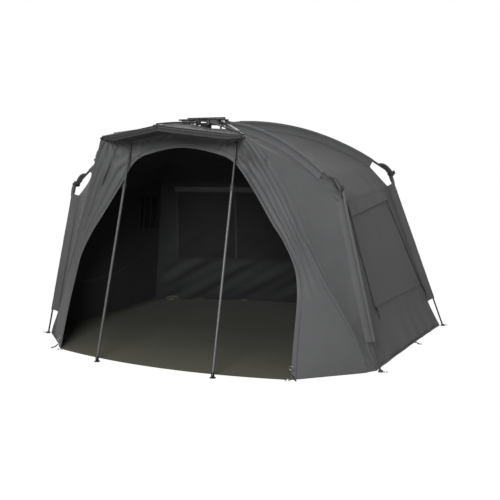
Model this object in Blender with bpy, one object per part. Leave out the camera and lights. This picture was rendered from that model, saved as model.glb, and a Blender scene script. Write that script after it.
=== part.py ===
"""Fishing brolly shelter: an external folding frame that carries a fabric shell, open in front."""
import math

import bmesh
import bpy
from mathutils import Vector

# Clearances
GAP = 0.0003
SEAM_GAP = 0.0004
FABRIC_SEAT = 0.0007

# Fabric
FABRIC = 0.002
FACE_TIP_BACK = 1.5 * FABRIC
FACE_TIP_DROP = 0.5 * FABRIC
FRONT_TURN_Y = -0.200
FRONT_TURN = 0.100
PEAK_INWARD = Vector((0, 0.85, -0.53))
FOCUS = Vector((0.0, 0.35, 0.50))
GROUNDSHEET = 0.003
LIP_HEIGHT = 0.050
LIP_LEAN = 0.012
LIP_INSET = 0.058
LIP_SIDE_INSET = 0.020
PIVOT_Z = 1.440
CROWN_DROP = 0.040
CROWN_Z = PIVOT_Z - CROWN_DROP
CROWN_SHARE = 0.055
CROWN_REACH = 0.22
SLEEVE_SHARE = 0.875
ELBOW_INSET = 0.040
INSET_EDGE = 1 / 3
BARE_ROWS = 3
WALL_TOP_SHARE = 0.060
WALL_HEM_SHARE = 0.985
FOOT_CLEAR = 0.012
ROOF_SAG = 0.030
WALL_SAG = 0.008
WING_SAG = 0.010
HOOD_SAG = 0.010
FACE_RECESS = 0.022
HEM_Z = GROUNDSHEET + GAP

# Tubes, as radii
ARM_R = 0.0075
LEG_R = 0.0080
LEG_BORE_R = 0.0062
FERRULE_R = LEG_R + 0.0035
FERRULE_TOP = 0.018
FERRULE_END = 0.056
LEG_FOOT_R = LEG_BORE_R - 2 * GAP
PEAK_R = 0.0050
POLE_R = 0.0085
POLE_BORE_R = 0.0068
POLE_TOP_R = POLE_BORE_R - 2 * GAP

# Hub
HUB_PIN_R = 0.0030
HUB_LUG_R = 0.0150
HUB_HEIGHT = 0.030
TONGUE = 0.0080
SLOT = TONGUE + 2 * GAP
SPINE_HALF = 0.135
SPINE_WIDTH = 0.014
SPINE_THICK = 0.006
SPINE_Z = PIVOT_Z + 0.031
SPINE_POST_X = 0.112
CLEVIS_SLOT_DROP = 0.004
CLEVIS_DEPTH = 0.0145
TONGUE_HALF_HEIGHT = 0.0065
TONGUE_BACK = 0.008
TONGUE_AHEAD = 0.020

# Ribs: places of the hub pivots, the feet and the elbows, for the right side
FRONT_PIVOT = (0.120, -0.070)
FRONT_FOOT = (1.200, -0.130)
FRONT_ELBOW_REACH = 0.826
FRONT_ELBOW_Z = 1.045
FRONT_BOW = 0.100
FRONT_LEG_SLIDE = 0.234
BACK_PIVOT = (0.125, 0.040)
BACK_FOOT = (1.248, 1.314)
BACK_ELBOW_REACH = 1.218
BACK_ELBOW_Z = 1.115
BACK_BOW = 0.112
BACK_LEG_SLIDE = 0.197
PEAK_PIVOT = (0.075, -0.100)
PEAK_TIP = (0.489, -0.435, 1.352)
PEAK_CENTRE_TIP = (0.0, -0.570, 1.414)
PEAK_BOW = 0.006

# Elbows
KNUCKLE_R = 0.0165
KNUCKLE_WIDTH = 0.020
LEG_OFFSET = 0.028
EYE_WIDTH = 0.0166
EYE_R = 0.0135
ELBOW_PIN_R = 0.0040
CATCH_LENGTH = 0.036
CATCH_WIDTH = 0.010
CATCH_PIN_R = 0.0020
CATCH_THICK = 0.004
CATCH_STAND = 0.0055
CATCH_SHIFT = 0.004
EAR = 0.0025
PIN_HEAD = 0.003
BOSS_R = 0.009
SOCKET_R = 0.0115
SOCKET_LENGTH = 0.045
SOCKET_BOTTOM = 0.0165
STRAIGHT_END = 0.060
ARM_ROUND_SHARE = 0.060

# Feet
FOOT_R = 0.016
FOOT_HEIGHT = 0.012
LEG_OVERLAP = 0.060
LEG_STOP = 0.030

# Storm poles, right side
POLE_FOOT = (0.400, -0.644)
POLE_TOP = (0.370, -0.2922, 1.320)
POLE_PIVOT_Z = 0.020
POLE_COLLAR_Z = 1.060
POLE_SLIDE = 0.300
POLE_OVERLAP = 0.050
COLLAR_R = 0.0125
COLLAR_LENGTH = 0.040
POLE_PAD_R = 0.018
POLE_PAD = 0.005
POLE_EAR_R = 0.008
POLE_TONGUE_BACK = 0.007

# Rows and columns of the fabric panels
ARM_ROWS = 7
LEG_ROWS = 7
SIDE_COLS = 10
BACK_COLS = 18
WING_COLS = 6
HOOD_COLS = 14
FACE_COLS = 5
ARCH_ROWS = 9

# Fabric outlines, right side, as points on the real shelter
CREASE = [(0.625, -0.368, 1.114), (0.781, -0.307, 0.783), (0.919, -0.249, 0.505), (1.062, -0.183, 0.238)]
CREASE_END = (1.140, -0.160)
ARCH_FOOT = (0.810, -0.490)
ARCH_SIDE = [(0.801, -0.451, 0.150), (0.795, -0.404, 0.300), (0.784, -0.354, 0.450), (0.755, -0.323, 0.600),
             (0.675, -0.307, 0.750), (0.601, -0.302, 0.850), (0.463, -0.282, 1.050), (0.345, -0.290, 1.200)]
ARCH_CROWN = (0.0, -0.301, 1.284)
ARCH_SHOULDER = (0.200, -0.298, 1.256)
FACE_TOP = (0.0, -0.280, 1.390)
FACE_SHOULDER = (0.240, -0.276, 1.367)
FACE_POCKET = (0.405, -0.3125, 1.347)
BACK_HEM_Y = 1.700
BACK_WAIST_BOW = 0.090
FASCIA_DROP = 0.026
FASCIA_BACK = 0.006
FASCIA_TIP_SHARE = 0.3
THRESHOLD_Y = -0.604
ARCH_SPLIT = 0.68

# Windows: shares of the side panel, down its legs and from its front rib to its back rib
COVER_TOP_SHARE = 0.165
COVER_BOTTOM_SHARE = 0.680
COVER_TOP_SHARES = (0.075, 0.690)
COVER_BOTTOM_SHARES = (0.110, 0.850)
COVER_LIFT = 0.0012
COVER_THICK = 0.002
FLAP_TOP_SHARE = 0.105
FLAP_LIFT = 0.006
FLAP_GAP = 0.003
SLIDER_HALF = (0.004, 0.009, 0.0015)
SLIDER_INSET = 0.012
SLIDER_RISE = 0.02
SLIDER_CLEAR = 0.0016

UP = Vector((0.0, 0.0, 1.0))


def clear_scene():
    for old in list(bpy.data.objects):
        bpy.data.objects.remove(old, do_unlink=True)


def material(name, color, roughness, metallic=0.0):
    found = bpy.data.materials.get(name)
    if found:
        return found
    made = bpy.data.materials.new(name)
    made.use_nodes = True
    shader = made.node_tree.nodes["Principled BSDF"]
    shader.inputs["Base Color"].default_value = (*color, 1.0)
    shader.inputs["Roughness"].default_value = roughness
    shader.inputs["Metallic"].default_value = metallic
    return made


def canopy_cloth():
    return material("canopy_cloth", (0.085, 0.087, 0.090), 0.75)


def inner_cloth():
    return material("groundsheet_cloth", (0.045, 0.047, 0.036), 0.70)


def black_tube():
    return material("black_tube", (0.020, 0.020, 0.022), 0.40, 0.6)


def grey_tube():
    return material("grey_tube", (0.30, 0.30, 0.31), 0.35, 0.9)


def black_plastic():
    return material("black_plastic", (0.015, 0.015, 0.016), 0.50)


def add_object(name, vertices, faces, surface, smooth_angle=35.0):
    """One closed body from vertices and faces, its faces turned outward."""
    mesh = bpy.data.meshes.new(name)
    build = bmesh.new()
    corners = [build.verts.new(point) for point in vertices]
    for face in faces:
        build.faces.new([corners[i] for i in face])
    bmesh.ops.recalc_face_normals(build, faces=build.faces)
    if build.calc_volume(signed=True) < 0:
        bmesh.ops.reverse_faces(build, faces=build.faces)
    build.to_mesh(mesh)
    build.free()
    mesh.materials.append(surface)
    mesh.shade_smooth()
    mesh.set_sharp_from_angle(angle=math.radians(smooth_angle))
    made = bpy.data.objects.new(name, mesh)
    bpy.context.collection.objects.link(made)
    return made


def combine(target, other, operation):
    """Leaves an exact boolean on the target; a cutter stays in the scene, hidden."""
    step = target.modifiers.new(operation.lower() + "_" + other.name, "BOOLEAN")
    step.operation = operation
    step.object = other
    step.solver = "EXACT"
    other.hide_render = True
    other.display_type = "WIRE"


def loft(rings):
    """Vertices and faces of a body through rings of equal count, capped at both ends."""
    count = len(rings[0])
    vertices = [point for ring in rings for point in ring]
    faces = []
    for row in range(len(rings) - 1):
        for i in range(count):
            j = (i + 1) % count
            faces.append((row * count + i, row * count + j, (row + 1) * count + j, (row + 1) * count + i))
    faces.append(tuple(range(count)))
    faces.append(tuple((len(rings) - 1) * count + i for i in range(count)))
    return vertices, faces


def bore_radius(radius, sides):
    """The radius of a faceted hole that clears a round piece of this radius."""
    return (radius + GAP) / math.cos(math.pi / sides)


def oval(centre, side, rise, half_side, half_rise, sides):
    """A ring of points round a centre."""
    angles = [math.tau * (i + 0.5) / sides for i in range(sides)]
    return [centre + side * (math.cos(a) * half_side) + rise * (math.sin(a) * half_rise) for a in angles]


def rod(name, start, end, radius, surface, sides=12):
    axis = (end - start).normalized()
    side = axis.orthogonal().normalized()
    rise = axis.cross(side)
    rings = [oval(point, side, rise, radius, radius, sides) for point in (start, end)]
    return add_object(name, *loft(rings), surface)


def turned(name, start, axis, profile, surface, sides=12):
    """A body of revolution from (radius, distance along the axis) pairs, both ends on the axis."""
    side = axis.orthogonal().normalized()
    rise = axis.cross(side)
    rings = [oval(start + axis * along, side, rise, radius, radius, sides) for radius, along in profile[1:-1]]
    vertices, faces = loft(rings)
    faces = faces[:-2]
    for index, (_, along) in enumerate((profile[0], profile[-1])):
        vertices.append(start + axis * along)
        tip = len(vertices) - 1
        base = 0 if index == 0 else (len(rings) - 1) * sides
        faces += [(base + i, base + (i + 1) % sides, tip) for i in range(sides)]
    return add_object(name, vertices, faces, surface)


def collar_ring(name, start, axis, profile, surface, sides=16):
    """A turned ring: the profile is a closed loop of (radius, distance) pairs, clear of the axis."""
    side = axis.orthogonal().normalized()
    rise = axis.cross(side)
    rings = [oval(start + axis * along, side, rise, radius, radius, sides) for radius, along in profile]
    rings.append(rings[0])
    vertices, faces = loft(rings)
    total = (len(rings) - 1) * sides
    faces = [tuple(i % total for i in face) for face in faces[:-2]]
    return add_object(name, vertices[:total], faces, surface)


def brick(name, centre, axes, halves, surface):
    """A box with its own axes, for blocks, slots and levers."""
    a, b, c = (axis * half for axis, half in zip(axes, halves))
    signs = [(-1, -1), (1, -1), (1, 1), (-1, 1)]
    rings = [[centre + a * i + b * j + c * k for i, j in signs] for k in (-1, 1)]
    return add_object(name, *loft(rings), surface)


def crown_pull(share):
    """How far the fabric is drawn down from a rib to the crown, 1 at the crown's edge."""
    return max(0.0, 1.0 - (share - CROWN_SHARE) / CROWN_REACH) ** 2


class Rib:
    """A main rib: an arm from the hub to the elbow, and a leg from the elbow to the ground."""

    def __init__(self, name, side, pivot, foot, elbow_reach, elbow_z, bow, slide):
        self.name = name
        self.pivot = Vector((side * pivot[0], pivot[1], PIVOT_Z))
        foot_base = Vector((side * foot[0], foot[1], PIVOT_Z))
        self.reach = (foot_base - self.pivot).length
        self.out = (foot_base - self.pivot).normalized()
        self.across = UP.cross(self.out)
        self.elbow_reach = elbow_reach
        self.elbow_z = elbow_z
        self.bow = bow
        self.slide = slide
        self.elbow = self.place(elbow_reach, elbow_z)
        self.leg_top = self.place(elbow_reach, elbow_z, LEG_OFFSET)
        self.foot = self.place(self.reach, 0.0, LEG_OFFSET)
        self.leg_axis = (self.foot - self.leg_top).normalized()
        self.leg_length = (self.foot - self.leg_top).length

    def place(self, reach, z, across=0.0):
        point = self.pivot + self.out * reach + self.across * across
        point.z = z
        return point

    def arm_point(self, share):
        rise = (self.elbow_z - PIVOT_Z) * share + 4 * self.bow * share * (1 - share)
        return self.place(self.elbow_reach * share, PIVOT_Z + rise)

    def arm_tangent(self, share):
        rise = (self.elbow_z - PIVOT_Z) + 4 * self.bow * (1 - 2 * share)
        return (self.out * self.elbow_reach + UP * rise).normalized()

    def under_arm(self, share, drop):
        """A point of the fabric below the arm."""
        tangent = self.arm_tangent(share)
        return self.arm_point(share) + self.across.cross(tangent) * drop

    def inside_leg(self, share, inset):
        """A point of the fabric inside the leg; share 0 is the elbow and 1 the ground."""
        point = self.leg_top + (self.foot - self.leg_top) * share
        return point + self.across.cross(self.leg_axis) * inset

    def fabric_curve(self):
        """Rows of fabric points from the crown to the hem, straight on where the elbow is bare."""
        rows = []
        seat = ARM_R + FABRIC_SEAT
        for i in range(ARM_ROWS):
            share = CROWN_SHARE + (SLEEVE_SHARE - CROWN_SHARE) * i / (ARM_ROWS - 1)
            point = self.under_arm(share, seat)
            point.z += crown_pull(share) * (CROWN_Z - point.z)
            rows.append(point)
        wall = []
        seat = LEG_R + FABRIC_SEAT
        for i in range(LEG_ROWS):
            share = WALL_TOP_SHARE + (WALL_HEM_SHARE - WALL_TOP_SHARE) * i / (LEG_ROWS - 1)
            point = self.inside_leg(share, seat + FOOT_CLEAR * share ** 6)
            if i == LEG_ROWS - 1:
                point.z = HEM_Z
            wall.append(point)
        bare = [rows[-1].lerp(wall[0], share) for share in (INSET_EDGE / 2, 0.5, 1 - INSET_EDGE / 2)]
        return rows + bare + wall

    def bare_inset(self):
        """How far the fabric's corner is set in from its two sleeves beside the bare elbow."""
        curve = self.fabric_curve()
        chord = curve[ARM_ROWS + BARE_ROWS] - curve[ARM_ROWS - 1]
        return self.across.cross(chord.normalized()) * ELBOW_INSET


def make_ribs():
    ribs = {}
    for label, side in (("right", 1), ("left", -1)):
        ribs["front_" + label] = Rib("front_" + label, side, FRONT_PIVOT, FRONT_FOOT, FRONT_ELBOW_REACH,
                                     FRONT_ELBOW_Z, FRONT_BOW, FRONT_LEG_SLIDE)
        ribs["back_" + label] = Rib("back_" + label, side, BACK_PIVOT, BACK_FOOT, BACK_ELBOW_REACH,
                                    BACK_ELBOW_Z, BACK_BOW, BACK_LEG_SLIDE)
    return ribs


def make_hub_side(label, side, mounts):
    """One hub block: lugs round three pivots, a slot and a pin for each tongue, and a post for the spine."""
    outline = []
    for pivot, _, _ in mounts:
        for i in range(12):
            angle = math.tau * i / 12
            outline.append((pivot.x + HUB_LUG_R * math.cos(angle), pivot.y + HUB_LUG_R * math.sin(angle)))
    build = bmesh.new()
    for x, y in outline:
        build.verts.new((x, y, PIVOT_Z - HUB_HEIGHT / 2))
        build.verts.new((x, y, PIVOT_Z + HUB_HEIGHT / 2))
    hull = bmesh.ops.convex_hull(build, input=build.verts)
    loose = [item for item in hull["geom_interior"] + hull["geom_unused"] if isinstance(item, bmesh.types.BMVert)]
    bmesh.ops.delete(build, geom=list(set(loose)), context="VERTS")
    mesh = bpy.data.meshes.new("hub_block_" + label)
    build.to_mesh(mesh)
    build.free()
    mesh.materials.append(black_plastic())
    block = bpy.data.objects.new("hub_block_" + label, mesh)
    bpy.context.collection.objects.link(block)
    for index, (pivot, out, across) in enumerate(mounts):
        slot = brick(f"slot_{label}_{index}", pivot + out * (0.040 - HUB_LUG_R * 0.75), (out, across, UP),
                     (0.040, SLOT / 2, HUB_HEIGHT), black_plastic())
        combine(block, slot, "DIFFERENCE")
    for index, (pivot, _, across) in enumerate(mounts):
        half = across * (HUB_LUG_R * 0.72)
        pin = rod(f"pin_{label}_{index}", pivot - half, pivot + half, HUB_PIN_R, grey_tube(), 8)
        combine(block, pin, "UNION")
    base = Vector((side * SPINE_POST_X, 0.0, PIVOT_Z))
    top = Vector((side * SPINE_POST_X, 0.0, SPINE_Z - GAP))
    combine(block, rod("post_" + label, base, top, SPINE_WIDTH * 0.45, black_plastic(), 10), "UNION")


def make_hub(ribs, peaks):
    for label, side in (("right", 1), ("left", -1)):
        chosen = [ribs["front_" + label], ribs["back_" + label], peaks[label]]
        make_hub_side(label, side, [(rib.pivot, rib.out, rib.across) for rib in chosen])
    brick("hub_spine", Vector((0, 0, SPINE_Z + SPINE_THICK / 2)), (Vector((1, 0, 0)), Vector((0, 1, 0)), UP),
          (SPINE_HALF, SPINE_WIDTH / 2, SPINE_THICK / 2), black_tube())
    peak = peaks["centre"]
    x_axis, y_axis = Vector((1, 0, 0)), Vector((0, 1, 0))
    lug = brick("hub_centre_clevis", peak.pivot, (x_axis, y_axis, UP),
                (HUB_LUG_R * 0.8, CLEVIS_DEPTH, HUB_HEIGHT / 2), black_plastic())
    back = SPINE_WIDTH / 2
    front = peak.pivot.y - CLEVIS_DEPTH
    top = SPINE_Z - GAP
    low = PIVOT_Z + HUB_HEIGHT * 0.3
    bar = brick("clevis_bar", Vector((0, (front + back) / 2, (top + low) / 2)), (x_axis, y_axis, UP),
                (HUB_LUG_R * 0.5, (back - front) / 2, (top - low) / 2), black_plastic())
    combine(lug, bar, "UNION")
    slot = brick("slot_centre", peak.pivot + peak.out * (0.040 - HUB_LUG_R * 0.75) - UP * CLEVIS_SLOT_DROP,
                 (peak.out, peak.across, UP), (0.040, SLOT / 2, HUB_HEIGHT / 2), black_plastic())
    combine(lug, slot, "DIFFERENCE")
    half = peak.across * (HUB_LUG_R * 0.72)
    combine(lug, rod("pin_centre", peak.pivot - half, peak.pivot + half, HUB_PIN_R, grey_tube(), 8), "UNION")


def tongue_and_tube(centres, across, radius, sides=10):
    """Rings of a tube whose first end is flattened to a tongue; centres starts behind the pin."""
    rings = []
    for index, centre in enumerate(centres):
        ahead = centres[min(index + 1, len(centres) - 1)] - centres[max(index - 1, 0)]
        rise = ahead.normalized().cross(across)
        flat = index < 2
        side_half = TONGUE / 2 if flat else radius
        rise_half = TONGUE_HALF_HEIGHT if flat else radius
        rings.append(oval(centre, across, rise, side_half, rise_half, sides))
    return rings


def make_arm(rib):
    ends = [rib.arm_point(0) - rib.out * TONGUE_BACK, rib.arm_point(0) + rib.out * TONGUE_AHEAD]
    steps = 11
    last = 1.0 - STRAIGHT_END / rib.elbow_reach
    body = [rib.arm_point(ARM_ROUND_SHARE + (last - ARM_ROUND_SHARE) * i / steps) for i in range(steps + 1)]
    inward = (rib.elbow - body[-1]).normalized()
    centres = ends + body + [rib.elbow - inward * (SOCKET_BOTTOM + GAP)]
    arm = add_object("arm_" + rib.name, *loft(tongue_and_tube(centres, rib.across, ARM_R)), black_tube())
    drill_tongue(arm, rib)
    return inward


def drill_tongue(owner, rib):
    half = rib.across * TONGUE
    hole = rod("bore_" + owner.name, rib.pivot - half, rib.pivot + half, bore_radius(HUB_PIN_R, 8), grey_tube(), 8)
    combine(owner, hole, "DIFFERENCE")


def make_elbow(rib, inward):
    """The knuckle on the arm's end, its pin, and the sprung catch on its outer side."""
    across = rib.across
    start = rib.elbow - across * (KNUCKLE_WIDTH / 2)
    boss_end = LEG_OFFSET - EYE_WIDTH / 2 - GAP
    profile = [(0, 0), (KNUCKLE_R, 0), (KNUCKLE_R, KNUCKLE_WIDTH), (BOSS_R, KNUCKLE_WIDTH),
               (BOSS_R, boss_end + KNUCKLE_WIDTH / 2), (0, boss_end + KNUCKLE_WIDTH / 2)]
    knuckle = turned("elbow_" + rib.name, start, across, profile, black_plastic(), 16)
    socket = rod("socket_" + rib.name, rib.elbow - inward * BOSS_R, rib.elbow - inward * SOCKET_LENGTH, SOCKET_R, black_plastic(), 12)
    combine(knuckle, socket, "UNION")
    bore = rod("socket_bore_" + rib.name, rib.elbow - inward * SOCKET_BOTTOM,
               rib.elbow - inward * (SOCKET_LENGTH * 1.2), bore_radius(ARM_R, 10), black_plastic(), 10)
    combine(knuckle, bore, "DIFFERENCE")
    hinge = catch_hinge(rib)
    outward = catch_outward(rib)
    along = outward.cross(across)
    ear = brick("ear_" + rib.name, hinge - outward * 0.004 + across * (CATCH_WIDTH / 2 + GAP + EAR / 2),
                (outward, along, across), (CATCH_THICK, CATCH_THICK * 0.9, EAR / 2), black_plastic())
    combine(knuckle, ear, "UNION")
    peg = rod("peg_" + rib.name, hinge - across * (CATCH_WIDTH / 2), hinge + across * (CATCH_WIDTH / 2 + EAR / 2),
              CATCH_PIN_R, black_plastic(), 8)
    combine(knuckle, peg, "UNION")
    reach = across * (KNUCKLE_WIDTH + LEG_OFFSET)
    hole = rod("knuckle_bore_" + rib.name, rib.elbow - reach, rib.elbow + reach, bore_radius(ELBOW_PIN_R, 12),
               black_plastic(), 12)
    combine(knuckle, hole, "DIFFERENCE")
    lever = brick("catch_" + rib.name, hinge + along * CATCH_SHIFT, (outward, along, across),
                  (CATCH_THICK, CATCH_LENGTH / 2, CATCH_WIDTH / 2), black_plastic())
    peg_hole = rod("catch_bore_" + rib.name, hinge - across * CATCH_WIDTH, hinge + across * CATCH_WIDTH,
                   bore_radius(CATCH_PIN_R, 8), black_plastic(), 8)
    combine(lever, peg_hole, "DIFFERENCE")
    low = -KNUCKLE_WIDTH / 2 - GAP
    high = LEG_OFFSET + EYE_WIDTH / 2 + GAP
    head, head_r = PIN_HEAD, ELBOW_PIN_R * 1.7
    pin_profile = [(0, low - head), (head_r, low - head), (head_r, low), (ELBOW_PIN_R, low),
                   (ELBOW_PIN_R, high), (head_r, high), (head_r, high + head), (0, high + head)]
    turned("elbow_pin_" + rib.name, rib.elbow, across, pin_profile, grey_tube(), 12)


def catch_outward(rib):
    return (rib.out + UP * 0.35).normalized()


def catch_hinge(rib):
    return rib.elbow + catch_outward(rib) * (KNUCKLE_R + CATCH_STAND)


def make_leg(rib):
    """The leg tube with its eye, and the lower section that slides in it and ends in a foot."""
    outer_length = rib.leg_length - FOOT_HEIGHT - rib.slide - LEG_STOP
    bore_depth = LEG_OVERLAP + rib.slide + LEG_STOP / 2
    begin = rib.leg_top + rib.leg_axis * (ELBOW_PIN_R / 2)
    tube = outer_length - ELBOW_PIN_R / 2
    profile = [(0, 0), (LEG_R, 0), (LEG_R, FERRULE_TOP), (FERRULE_R, FERRULE_TOP + FERRULE_R - LEG_R),
               (FERRULE_R, FERRULE_END - FERRULE_R + LEG_R), (LEG_R, FERRULE_END), (LEG_R, tube),
               (LEG_BORE_R, tube), (LEG_BORE_R, tube - bore_depth), (0, tube - bore_depth)]
    leg = turned("leg_" + rib.name, begin, rib.leg_axis, profile, black_tube(), 12)
    eye_half = rib.across * (EYE_WIDTH / 2)
    eye = rod("eye_" + rib.name, rib.leg_top - eye_half, rib.leg_top + eye_half, EYE_R, black_tube(), 16)
    combine(leg, eye, "UNION")
    hole = rod("eye_bore_" + rib.name, rib.leg_top - eye_half * 2, rib.leg_top + eye_half * 2,
               bore_radius(ELBOW_PIN_R, 12), black_tube(), 12)
    combine(leg, hole, "DIFFERENCE")
    start = rib.leg_axis * (outer_length - LEG_OVERLAP)
    drop = rib.leg_length - outer_length + LEG_OVERLAP - FOOT_HEIGHT / 2
    lower = turned("leg_lower_" + rib.name, rib.leg_top + start, rib.leg_axis,
                   [(0, 0), (LEG_FOOT_R, 0), (LEG_FOOT_R, drop), (0, drop)], grey_tube(), 12)
    pad_base = Vector((rib.foot.x, rib.foot.y, 0.0))
    pad = turned("foot_" + rib.name, pad_base, UP,
                 [(0, 0), (FOOT_R, 0), (FOOT_R, FOOT_HEIGHT * 0.4), (FOOT_R * 0.6, FOOT_HEIGHT), (0, FOOT_HEIGHT)],
                 black_plastic(), 12)
    combine(lower, pad, "UNION")


class Peak:
    """A short rib that carries the peak's edge."""

    def __init__(self, name, pivot, tip):
        self.name = name
        self.pivot = Vector((pivot[0], pivot[1], PIVOT_Z))
        self.tip = Vector(tip)
        flat = Vector((self.tip.x - self.pivot.x, self.tip.y - self.pivot.y, 0))
        self.out = flat.normalized()
        self.across = UP.cross(self.out)

    def point(self, share):
        return self.pivot + (self.tip - self.pivot) * share + UP * (4 * PEAK_BOW * share * (1 - share))

    def fabric_curve(self):
        rows = []
        for i in range(ARM_ROWS):
            share = CROWN_SHARE + (1 - CROWN_SHARE) * i / (ARM_ROWS - 1)
            point = self.point(share) - UP * (PEAK_R + FABRIC_SEAT)
            point.z += crown_pull(share) * (CROWN_Z - point.z)
            rows.append(point)
        return rows


def make_peaks():
    return {
        "right": Peak("right", PEAK_PIVOT, PEAK_TIP),
        "centre": Peak("centre", (0.0, PEAK_PIVOT[1]), PEAK_CENTRE_TIP),
        "left": Peak("left", (-PEAK_PIVOT[0], PEAK_PIVOT[1]), (-PEAK_TIP[0], PEAK_TIP[1], PEAK_TIP[2])),
    }


def make_peak_rib(peak):
    ends = [peak.pivot - peak.out * TONGUE_BACK, peak.pivot + peak.out * TONGUE_AHEAD]
    start = 2 * TONGUE_AHEAD / (peak.tip - peak.pivot).length
    body = [peak.point(start + (1 - start) * i / 5) for i in range(6)]
    rib = add_object("peak_rib_" + peak.name, *loft(tongue_and_tube(ends + body, peak.across, PEAK_R, 8)),
                     black_tube())
    drill_tongue(rib, peak)


class Pole:
    """A storm pole at one side of the doorway: foot, lower tube, twist collar and sliding upper tube."""

    def __init__(self, label, side):
        self.label = label
        self.pivot = Vector((side * POLE_FOOT[0], POLE_FOOT[1], POLE_PIVOT_Z))
        self.top = Vector((side * POLE_TOP[0], POLE_TOP[1], POLE_TOP[2]))
        self.axis = (self.top - self.pivot).normalized()
        self.lower_end = (POLE_COLLAR_Z - POLE_PIVOT_Z) / self.axis.z
        self.length = (self.top - self.pivot).length


def make_pole(pole):
    side = Vector((1, 0, 0))
    ahead = Vector((0, 1, 0))
    ground = Vector((pole.pivot.x, pole.pivot.y, 0.0))
    foot = turned("pole_foot_" + pole.label, ground, UP,
                  [(0, 0), (POLE_PAD_R, 0), (POLE_PAD_R, POLE_PAD * 0.6), (POLE_PAD_R * 0.8, POLE_PAD), (0, POLE_PAD)],
                  black_plastic(), 14)
    gap = TONGUE / 2 + GAP + EAR / 2
    for sign in (-1, 1):
        ear_centre = ground + side * (sign * gap) + UP * (POLE_PIVOT_Z / 2 + POLE_EAR_R / 2)
        ear = brick(f"pole_ear_{pole.label}_{sign + 1}", ear_centre, (side, ahead, UP),
                    (EAR / 2, POLE_EAR_R, POLE_PIVOT_Z / 2 + POLE_EAR_R / 2), black_plastic())
        combine(foot, ear, "UNION")
    pin = rod("pole_pin_" + pole.label, pole.pivot - side * gap, pole.pivot + side * gap, HUB_PIN_R, grey_tube(), 8)
    combine(foot, pin, "UNION")
    depth = POLE_OVERLAP + POLE_SLIDE + POLE_OVERLAP / 5
    end = pole.lower_end
    start = POLE_EAR_R + HUB_PIN_R * 2
    lower = turned("pole_lower_" + pole.label, pole.pivot + pole.axis * start, pole.axis,
                   [(0, 0), (POLE_R, 0), (POLE_R, end - start), (POLE_BORE_R, end - start),
                    (POLE_BORE_R, end - start - depth), (0, end - start - depth)], grey_tube(), 12)
    rise = side.cross(pole.axis).normalized()
    across = pole.axis.cross(rise)
    tongue_half = (start + POLE_TONGUE_BACK) / 2 + POLE_R / 2
    tongue = brick("pole_tongue_" + pole.label, pole.pivot + pole.axis * (tongue_half - POLE_TONGUE_BACK),
                   (across, rise, pole.axis), (TONGUE / 2 - GAP * 2, TONGUE_HALF_HEIGHT, tongue_half), grey_tube())
    combine(lower, tongue, "UNION")
    hole = rod("pole_bore_" + pole.label, pole.pivot - side * TONGUE, pole.pivot + side * TONGUE,
               bore_radius(HUB_PIN_R, 8), grey_tube(), 8)
    combine(lower, hole, "DIFFERENCE")
    turned("pole_upper_" + pole.label, pole.pivot + pole.axis * (end - POLE_OVERLAP), pole.axis,
           [(0, 0), (POLE_TOP_R, 0), (POLE_TOP_R, pole.length - end + POLE_OVERLAP - POLE_TOP_R),
            (POLE_TOP_R * 0.6, pole.length - end + POLE_OVERLAP), (0, pole.length - end + POLE_OVERLAP)],
           black_tube(), 12)
    collar_ring("pole_collar_" + pole.label, pole.pivot + pole.axis * end, pole.axis,
                [(POLE_R + GAP, -COLLAR_LENGTH * 0.75), (COLLAR_R * 0.92, -COLLAR_LENGTH * 0.75),
                 (COLLAR_R, -COLLAR_LENGTH * 0.6), (COLLAR_R, COLLAR_LENGTH * 0.1),
                 (COLLAR_R * 0.8, COLLAR_LENGTH * 0.25), (POLE_TOP_R + GAP, COLLAR_LENGTH * 0.25),
                 (POLE_TOP_R + GAP, GAP), (POLE_R + GAP, GAP)], black_plastic())


def along_path(points, count, first=0.0, last=1.0):
    """Points at even shares of a path's length."""
    lengths = [0.0]
    for a, b in zip(points, points[1:]):
        lengths.append(lengths[-1] + (b - a).length)
    found = []
    for i in range(count):
        target = lengths[-1] * (first + (last - first) * i / (count - 1))
        k = max(j for j in range(len(points) - 1) if lengths[j] <= target + 1e-9)
        found.append(points[k].lerp(points[k + 1], (target - lengths[k]) / (lengths[k + 1] - lengths[k])))
    return found


def smooth_path(points, steps=6):
    """A Catmull-Rom curve through the points."""
    fine = []
    for k in range(len(points) - 1):
        before = points[max(k - 1, 0)]
        after = points[min(k + 2, len(points) - 1)]
        a, b = points[k], points[k + 1]
        for i in range(steps):
            t = i / steps
            fine.append(((2 * a) + (b - before) * t + (2 * before - 5 * a + 4 * b - after) * t ** 2
                         + (3 * a - before - 3 * b + after) * t ** 3) / 2)
    fine.append(points[-1])
    return fine


def mirrored(points):
    return [Vector((-p.x, p.y, p.z)) for p in points]


def inward_step(point):
    """The way through the cloth, the same for any two panels at a point on their shared seam.

    It aims at the middle of the shelter, and on the door face and the peak, which lean forward, to the back.
    """
    front = min(1.0, max(0.0, (FRONT_TURN_Y - point.y) / FRONT_TURN))
    high = min(1.0, max(0.0, (point.z - CREASE[0][2] + FRONT_TURN) / (2 * FRONT_TURN)))
    backward = Vector((0, 1, 0)).lerp(PEAK_INWARD, high)
    return (FOCUS - point).normalized().lerp(backward, front).normalized() * FABRIC


def trim(grid):
    """Draws a grid's edges back from the seams, so that sewn panels lie a hair apart."""
    rows, cols = len(grid), len(grid[0])
    moved = [[point.copy() for point in row] for row in grid]
    for i in range(rows):
        for j, k in ((0, 1), (cols - 1, cols - 2)):
            moved[i][j] += (grid[i][k] - grid[i][j]).normalized() * SEAM_GAP
    for j in range(cols):
        for i, k in ((0, 1), (rows - 1, rows - 2)):
            moved[i][j] += (grid[k][j] - grid[i][j]).normalized() * SEAM_GAP
    return moved


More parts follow.
